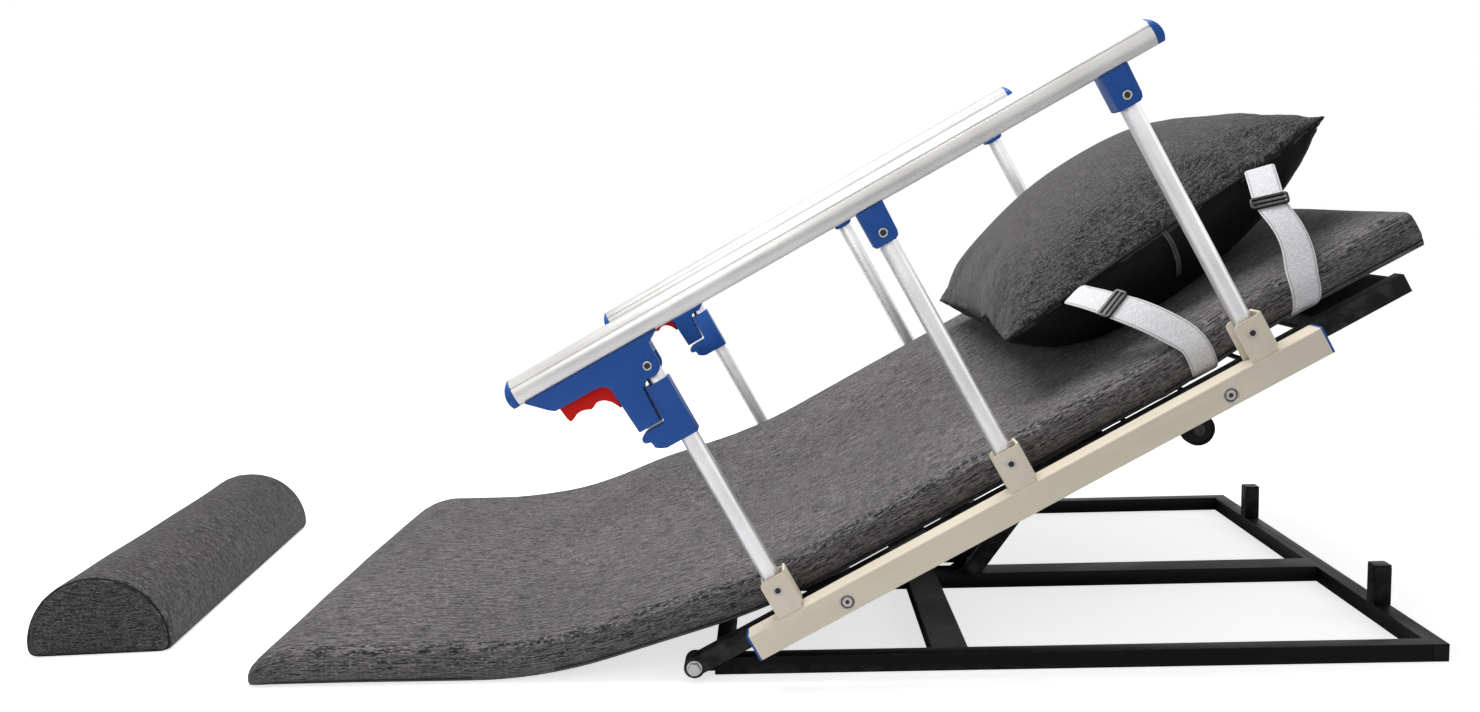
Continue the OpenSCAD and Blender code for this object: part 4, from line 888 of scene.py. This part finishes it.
def makeStrap(which, name):
    half = strapRoute(which)
    rows, columns = strap["rows"], strap["columns"]
    route = np.concatenate([half[:-1] * (1, -1, 1), half[::-1]])
    reach = reachAlong(route)
    spots = np.linspace(0, reach[-1], rows * strap["dense"])
    dense = resampled(route, reach, spots)
    for _ in range(strap["smooth"]):
        dense[1:-1] = softened(dense)
    line = dense[np.linspace(0, len(dense) - 1, rows).astype(int)]
    ahead = np.gradient(line, axis=0)
    piece = addGrid(rows - 1, columns - 1)
    grid = readPoints(piece)
    row = np.rint((grid[:, 0] + 0.5) * (rows - 1)).astype(int)
    aside = grid[:, 1] * strap["width"]
    shear = -ahead[row, 0] / np.hypot(ahead[row, 1], ahead[row, 2]) ** 2
    lean = ahead[row] * shear[:, None]
    lean[:, 0] = 1
    writePoints(piece, fromBackrest(line[row] + aside[:, None] * lean))
    mapCloth(piece, "strapMap", np.stack([row * reach[-1] / rows, aside], axis=1))
    solid = piece.modifiers.new("thickness", "SOLIDIFY")
    solid.thickness = strap["thick"]
    solid.offset = 0
    smooth = piece.modifiers.new("rounding", "SUBSURF")
    smooth.levels = smooth.render_levels = 1
    applyModifiers(piece)
    bpy.ops.object.shade_smooth()
    finishPiece(piece, name, "white_webbing", "backrest", ("pillow_straps",))


for which, name in enumerate(("footStrap", "headStrap")):
    makeStrap(which, name)
print("straps made")


# Bolster: a half-round cushion with a sewn cap at each end, made of a ball whose rows follow its section
bolster = {
    "length": 0.605, "width": 0.172, "height": 0.095, "side": 0.012, "flatShare": 0.80,
    "turn": math.radians(4.7), "columns": 96, "rows": 150, "capRows": 24, "roundRows": 6,
    "nearRound": 0.009, "farRound": 0.018, "dome": 0.005, "middleUp": 0.042,
    "arc": (-8, 188), "arcPoints": 60, "finePoints": 600, "smooth": 160, "onFloor": 0.0002,
    "uneven": 0.0018, "unevenSize": 0.19, "loose": 0.03, "leastUp": 0.0004,
    "crease": 0.0020, "creaseLong": 0.020, "creaseSize": 0.013, "creaseLie": 0.25,
    "swell": (1.5, 0.002), "pinned": 0.002, "cord": 0.0012, "cordIn": 0.35, "cordBack": 0.3, "capWeave": 1.6,
}


# Closed section of the bolster, from the middle of its underside and all round, evenly spaced
def bolsterSection(count):
    half, high = bolster["width"] / 2, bolster["height"] - bolster["side"]
    turn = np.radians(np.linspace(*bolster["arc"], bolster["arcPoints"]))
    arc = np.stack([half * np.cos(turn), np.maximum(bolster["side"] + high * np.sin(turn), 0)], axis=1)
    low = half * bolster["flatShare"]
    ring = np.concatenate([[[0, 0], [low / 2, 0], [low, 0]], arc, [[-low, 0], [-low / 2, 0], [0, 0]]])
    reach = reachAlong(ring)
    fine = resampled(ring, reach, np.linspace(0, reach[-1], bolster["finePoints"]))
    for _ in range(bolster["smooth"]):
        fine[1:-1] = np.where(fine[1:-1, 1:] > bolster["onFloor"], softened(fine), fine[1:-1])
    steps = np.arange(bolster["finePoints"])
    return resampled(fine, steps, np.linspace(0, steps[-1], count + 1)), reach[-1]


# Scale of the section in one row of the ball, and how far behind the cap's edge the row lies
def bolsterRow(index):
    rows, cap, bend = bolster["rows"], bolster["capRows"], bolster["roundRows"]
    length, half = bolster["length"], bolster["width"] / 2
    end = min(index, rows - index)
    radius = bolster["nearRound"] if index < rows / 2 else bolster["farRound"]
    if end <= cap:
        share = end / cap
        return share * (1 - radius / half), -bolster["dome"] * (1 - share ** 2)
    if end <= cap + bend:
        turn = math.pi / 2 * (end - cap) / bend
        return 1 - radius / half * (1 - math.sin(turn)), radius * (1 - math.cos(turn))
    share = (end - cap - bend) / (rows / 2 - cap - bend)
    return 1.0, radius + (length / 2 - radius) * share


# Turns points about the bolster's middle and sets them down where the CAD's bolster lies
def setDown(points):
    low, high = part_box("bolster")
    c, s = math.cos(bolster["turn"]), math.sin(bolster["turn"])
    return np.stack([
        (low[0] + high[0]) / 2 + points[:, 0] * c - points[:, 1] * s,
        (low[1] + high[1]) / 2 + points[:, 0] * s + points[:, 1] * c,
        np.maximum(points[:, 2], bolster["leastUp"]),
    ], axis=1)


def makeBolster():
    columns, rows, middleUp = bolster["columns"], bolster["rows"], bolster["middleUp"]
    length, half = bolster["length"], bolster["width"] / 2
    section, around = bolsterSection(columns)
    piece = addMesh(bpy.ops.mesh.primitive_uv_sphere_add, segments=columns, ring_count=rows, radius=1)
    ball = readPoints(piece)
    row = np.rint(np.arccos(np.clip(ball[:, 2], -1, 1)) / math.pi * rows).astype(int)
    column = np.rint(np.arctan2(ball[:, 1], ball[:, 0]) / (2 * math.pi) * columns).astype(int) % columns
    scale, deep = np.array([bolsterRow(index) for index in range(rows + 1)])[row].T
    x, up = section[column].T
    y = np.where(row < rows / 2, deep - length / 2, length / 2 - deep)
    loose = easeStep(up / bolster["loose"]) * np.where(scale > 1 - tiny, 1.0, 0.0)
    local = np.stack([x * scale, y, middleUp + (up - middleUp) * scale], axis=1)
    out = unit(local * (1, 0, 1) - (0, 0, middleUp))
    local += out * (bolster["uneven"] * smoothNoise(local, bolster["unevenSize"], 11) * loose)[:, None]
    crease = bolster["crease"] * np.exp(-(length / 2 - np.abs(y)) / bolster["creaseLong"]) * loose
    lying = local * (1, bolster["creaseLie"], 1)
    local += out * (crease * smoothNoise(lying, bolster["creaseSize"], 6))[:, None]
    writePoints(piece, setDown(local))
    swell(piece, *bolster["swell"], pinned=local[:, 2] < bolster["pinned"])
    flat = (row <= bolster["capRows"]) | (row >= rows - bolster["capRows"])
    places = np.stack([column / columns * around, y], axis=1)
    places[flat] = local[flat][:, (0, 2)] * bolster["capWeave"]
    bpy.ops.object.shade_smooth()
    mapCloth(piece, "clothMap", places)
    finishPiece(piece, "bolsterCover", "bolster_fabric", "bolster", ("bolster",))
    for name, end, radius in (("nearBolsterSeam", -1, "nearRound"), ("farBolsterSeam", 1, "farRound")):
        inside = 1 - bolster["cordIn"] * bolster[radius] / half
        ring = section[:-1]
        route = np.stack([
            ring[:, 0] * inside,
            np.full(columns, end * (length / 2 - bolster["cordBack"] * bolster[radius])),
            np.maximum(middleUp + (ring[:, 1] - middleUp) * inside, bolster["cord"]),
        ], axis=1)
        makeCord(name, setDown(route), bolster["cord"], "bolster_fabric", "bolster")


makeBolster()
print("bolster made")


# Rolled rims on the heads of the guard rails' pins with dark discs in their bores, and a dark hexagon in the
# key socket of the rails' bolts: these discs are painted shade inside the recesses
rivet = {
    "rim": 0.0040, "wire": 0.0010, "boreShade": 0.0032, "deep": 0.0006, "apart": 0.03, "outer": 0.004,
    "key": 0.0024, "sunk": 0.0004, "lie": (math.pi / 2, 0, 0),
}


# The outer ends of the pins in a CAD node, one by one: middle of the head, and which side it faces
def pinHeads(node):
    points = readPoints(cadNodes[node])
    heads = []
    for side in (-1, 1):
        outer = points[points[:, 1] * side > np.abs(points[:, 1]).max() - rivet["outer"]]
        while len(outer):
            near = np.hypot(outer[:, 0] - outer[0, 0], outer[:, 2] - outer[0, 2]) < rivet["apart"]
            head = outer[near]
            x, z = ((head[:, k].min() + head[:, k].max()) / 2 for k in (0, 2))
            heads.append((x, head[:, 1][np.argmax(head[:, 1] * side)], z, side))
            outer = outer[~near]
    return heads


# A flat dark disc, painted shade inside a bore or key socket
def makeRecessShade(name, node, spot, radius, corners):
    piece = addMesh(
        bpy.ops.mesh.primitive_cylinder_add,
        vertices=corners, radius=radius, depth=rivet["deep"], location=spot, rotation=rivet["lie"],
    )
    finishPiece(piece, name, nodeSlot[node], nodeBody[node], (), oiledSteelAndRecessShade)


def makeRivets(node):
    for number, (x, y, z, _) in enumerate(pinHeads(node)):
        rim = addMesh(
            bpy.ops.mesh.primitive_torus_add, major_radius=rivet["rim"], minor_radius=rivet["wire"],
            major_segments=40, minor_segments=10, location=(x, y, z), rotation=rivet["lie"],
        )
        bpy.ops.object.shade_smooth()
        finishPiece(rim, f"{node}_rim{number}", nodeSlot[node], nodeBody[node])
        makeRecessShade(f"{node}_boreShade{number}", node, (x, y, z), rivet["boreShade"], 32)


for node in ("bracket_pins", "near_top_pins", "far_top_pins"):
    makeRivets(node)
# The dark hexagons are painted shade in the bolts' key sockets
for number, (x, y, z, side) in enumerate(pinHeads("rail_bolts")):
    makeRecessShade(f"rail_bolts_keyShade{number}", "rail_bolts", (x, y - side * rivet["sunk"], z), rivet["key"], 6)
print("rivets made")


# Loop: a short grey tape sewn into the pillow's near seam, its free part lying on the lining
loop = {
    "u": 0.02, "long": 0.075, "drop": 0.060, "width": 0.0055, "thick": 0.0008, "rows": 24, "lean": 0.003,
    "off": 0.0022, "reach": 0.006, "smooth": 6, "color": (0.16, 0.16, 0.165), "shade": (0.07, 0.07, 0.072),
}


def makeLoop():
    piece = addGrid(loop["rows"], 2)
    grid = readPoints(piece)
    cover = toBackrest(readPoints(pillowPiece))
    cover = cover[cover[:, 1] < 0]
    t = grid[:, 0] + 0.5
    aside = grid[:, 1] * loop["width"]
    r = pillow["middle"] + pillow["length"] / 2 * loop["u"] + loop["lean"] * np.sin(math.pi * t) + aside
    n = seamHeight(loop["u"]) - t * loop["drop"]
    y = np.full_like(n, -seamSide(loop["u"]))
    for k in range(len(n)):
        close = np.hypot(cover[:, 0] - r[k], cover[:, 2] - n[k]) < loop["reach"]
        if close.any():
            y[k] = cover[close, 1].min()
    row = np.rint(t * loop["rows"]).astype(int)
    level = np.array([y[row == k].min() for k in range(loop["rows"] + 1)])
    for _ in range(loop["smooth"]):
        level[1:-1] = softened(level)
    writePoints(piece, fromBackrest(np.stack([r, level[row] - loop["off"], n], axis=1)))
    mapCloth(piece, "strapMap", np.stack([t * loop["long"], aside], axis=1))
    solid = piece.modifiers.new("thickness", "SOLIDIFY")
    solid.thickness = loop["thick"]
    applyModifiers(piece)
    bpy.ops.object.shade_smooth()
    tape = webbing("loopTape", loop["color"], loop["shade"], "strapMap", loop["width"] / 2)
    finishPiece(piece, "pillowLoop", "pillow_fabric", "backrest", (), tape)


makeLoop()
print("loop made")


# Stage: white world, and a floor that fades into it
stage = {
    "sky": (0.97, 0.98, 1.0, 1), "strength": 0.34, "white": (1, 1, 1, 1), "floor": (0.86, 0.86, 0.87, 1),
    "middle": (-0.2, 0, -0.0005), "radius": 12, "corners": 96, "fade": (1.2, 3.0), "lift": 0.70,
}


def makeWorld():
    world = bpy.context.scene.world or bpy.data.worlds.new("studio")
    bpy.context.scene.world = world
    world.use_nodes = True
    tree = world.node_tree
    tree.nodes.clear()
    rays = newNode(tree, "ShaderNodeLightPath")
    shown = mathNode(tree, "MAXIMUM", rays.outputs["Is Camera Ray"], rays.outputs["Is Glossy Ray"])
    shown = mathNode(tree, "MAXIMUM", shown, rays.outputs["Is Transmission Ray"])
    soft = newNode(tree, "ShaderNodeBackground")
    setInputs(tree, soft, Color=stage["sky"], Strength=stage["strength"])
    plain = setInputs(tree, newNode(tree, "ShaderNodeBackground"), Color=stage["white"])
    mixed = mixShader(tree, shown, soft.outputs[0], plain.outputs[0])
    setInputs(tree, newNode(tree, "ShaderNodeOutputWorld"), Surface=mixed)


def mixShader(tree, factor, first, second):
    node = newNode(tree, "ShaderNodeMixShader")
    for slot, value in enumerate((factor, first, second)):
        feed(tree, node.inputs[slot], value)
    return node.outputs[0]


def makeFloor():
    floor = addMesh(
        bpy.ops.mesh.primitive_circle_add,
        vertices=stage["corners"], radius=stage["radius"], fill_type="NGON", location=stage["middle"],
    )
    floor.name = "studioFloor"
    material, tree, shader, vector = startMaterial("paleFloor")
    setInputs(tree, shader, Base_Color=stage["floor"], Roughness=0.85, Specular_IOR_Level=0.1)
    seen = newNode(tree, "ShaderNodeLightPath").outputs["Is Camera Ray"]
    length = newNode(tree, "ShaderNodeVectorMath", operation="LENGTH")
    feed(tree, length.inputs[0], vector)
    far = ramp(tree, length.outputs["Value"], *stage["fade"])
    glow = setInputs(tree, newNode(tree, "ShaderNodeEmission"), Color=stage["white"])
    lift = newNode(tree, "ShaderNodeEmission")
    setInputs(tree, lift, Color=stage["white"], Strength=mathNode(tree, "MULTIPLY", seen, stage["lift"]))
    added = newNode(tree, "ShaderNodeAddShader")
    feed(tree, added.inputs[0], shader.outputs[0])
    feed(tree, added.inputs[1], lift.outputs[0])
    mixed = mixShader(tree, mathNode(tree, "MULTIPLY", far, seen), added.outputs[0], glow.outputs[0])
    setInputs(tree, tree.nodes["Material Output"], Surface=mixed)
    floor.data.materials.append(material)


makeWorld()
makeFloor()
bpy.context.scene.view_settings.view_transform = "Standard"
print("stage made")
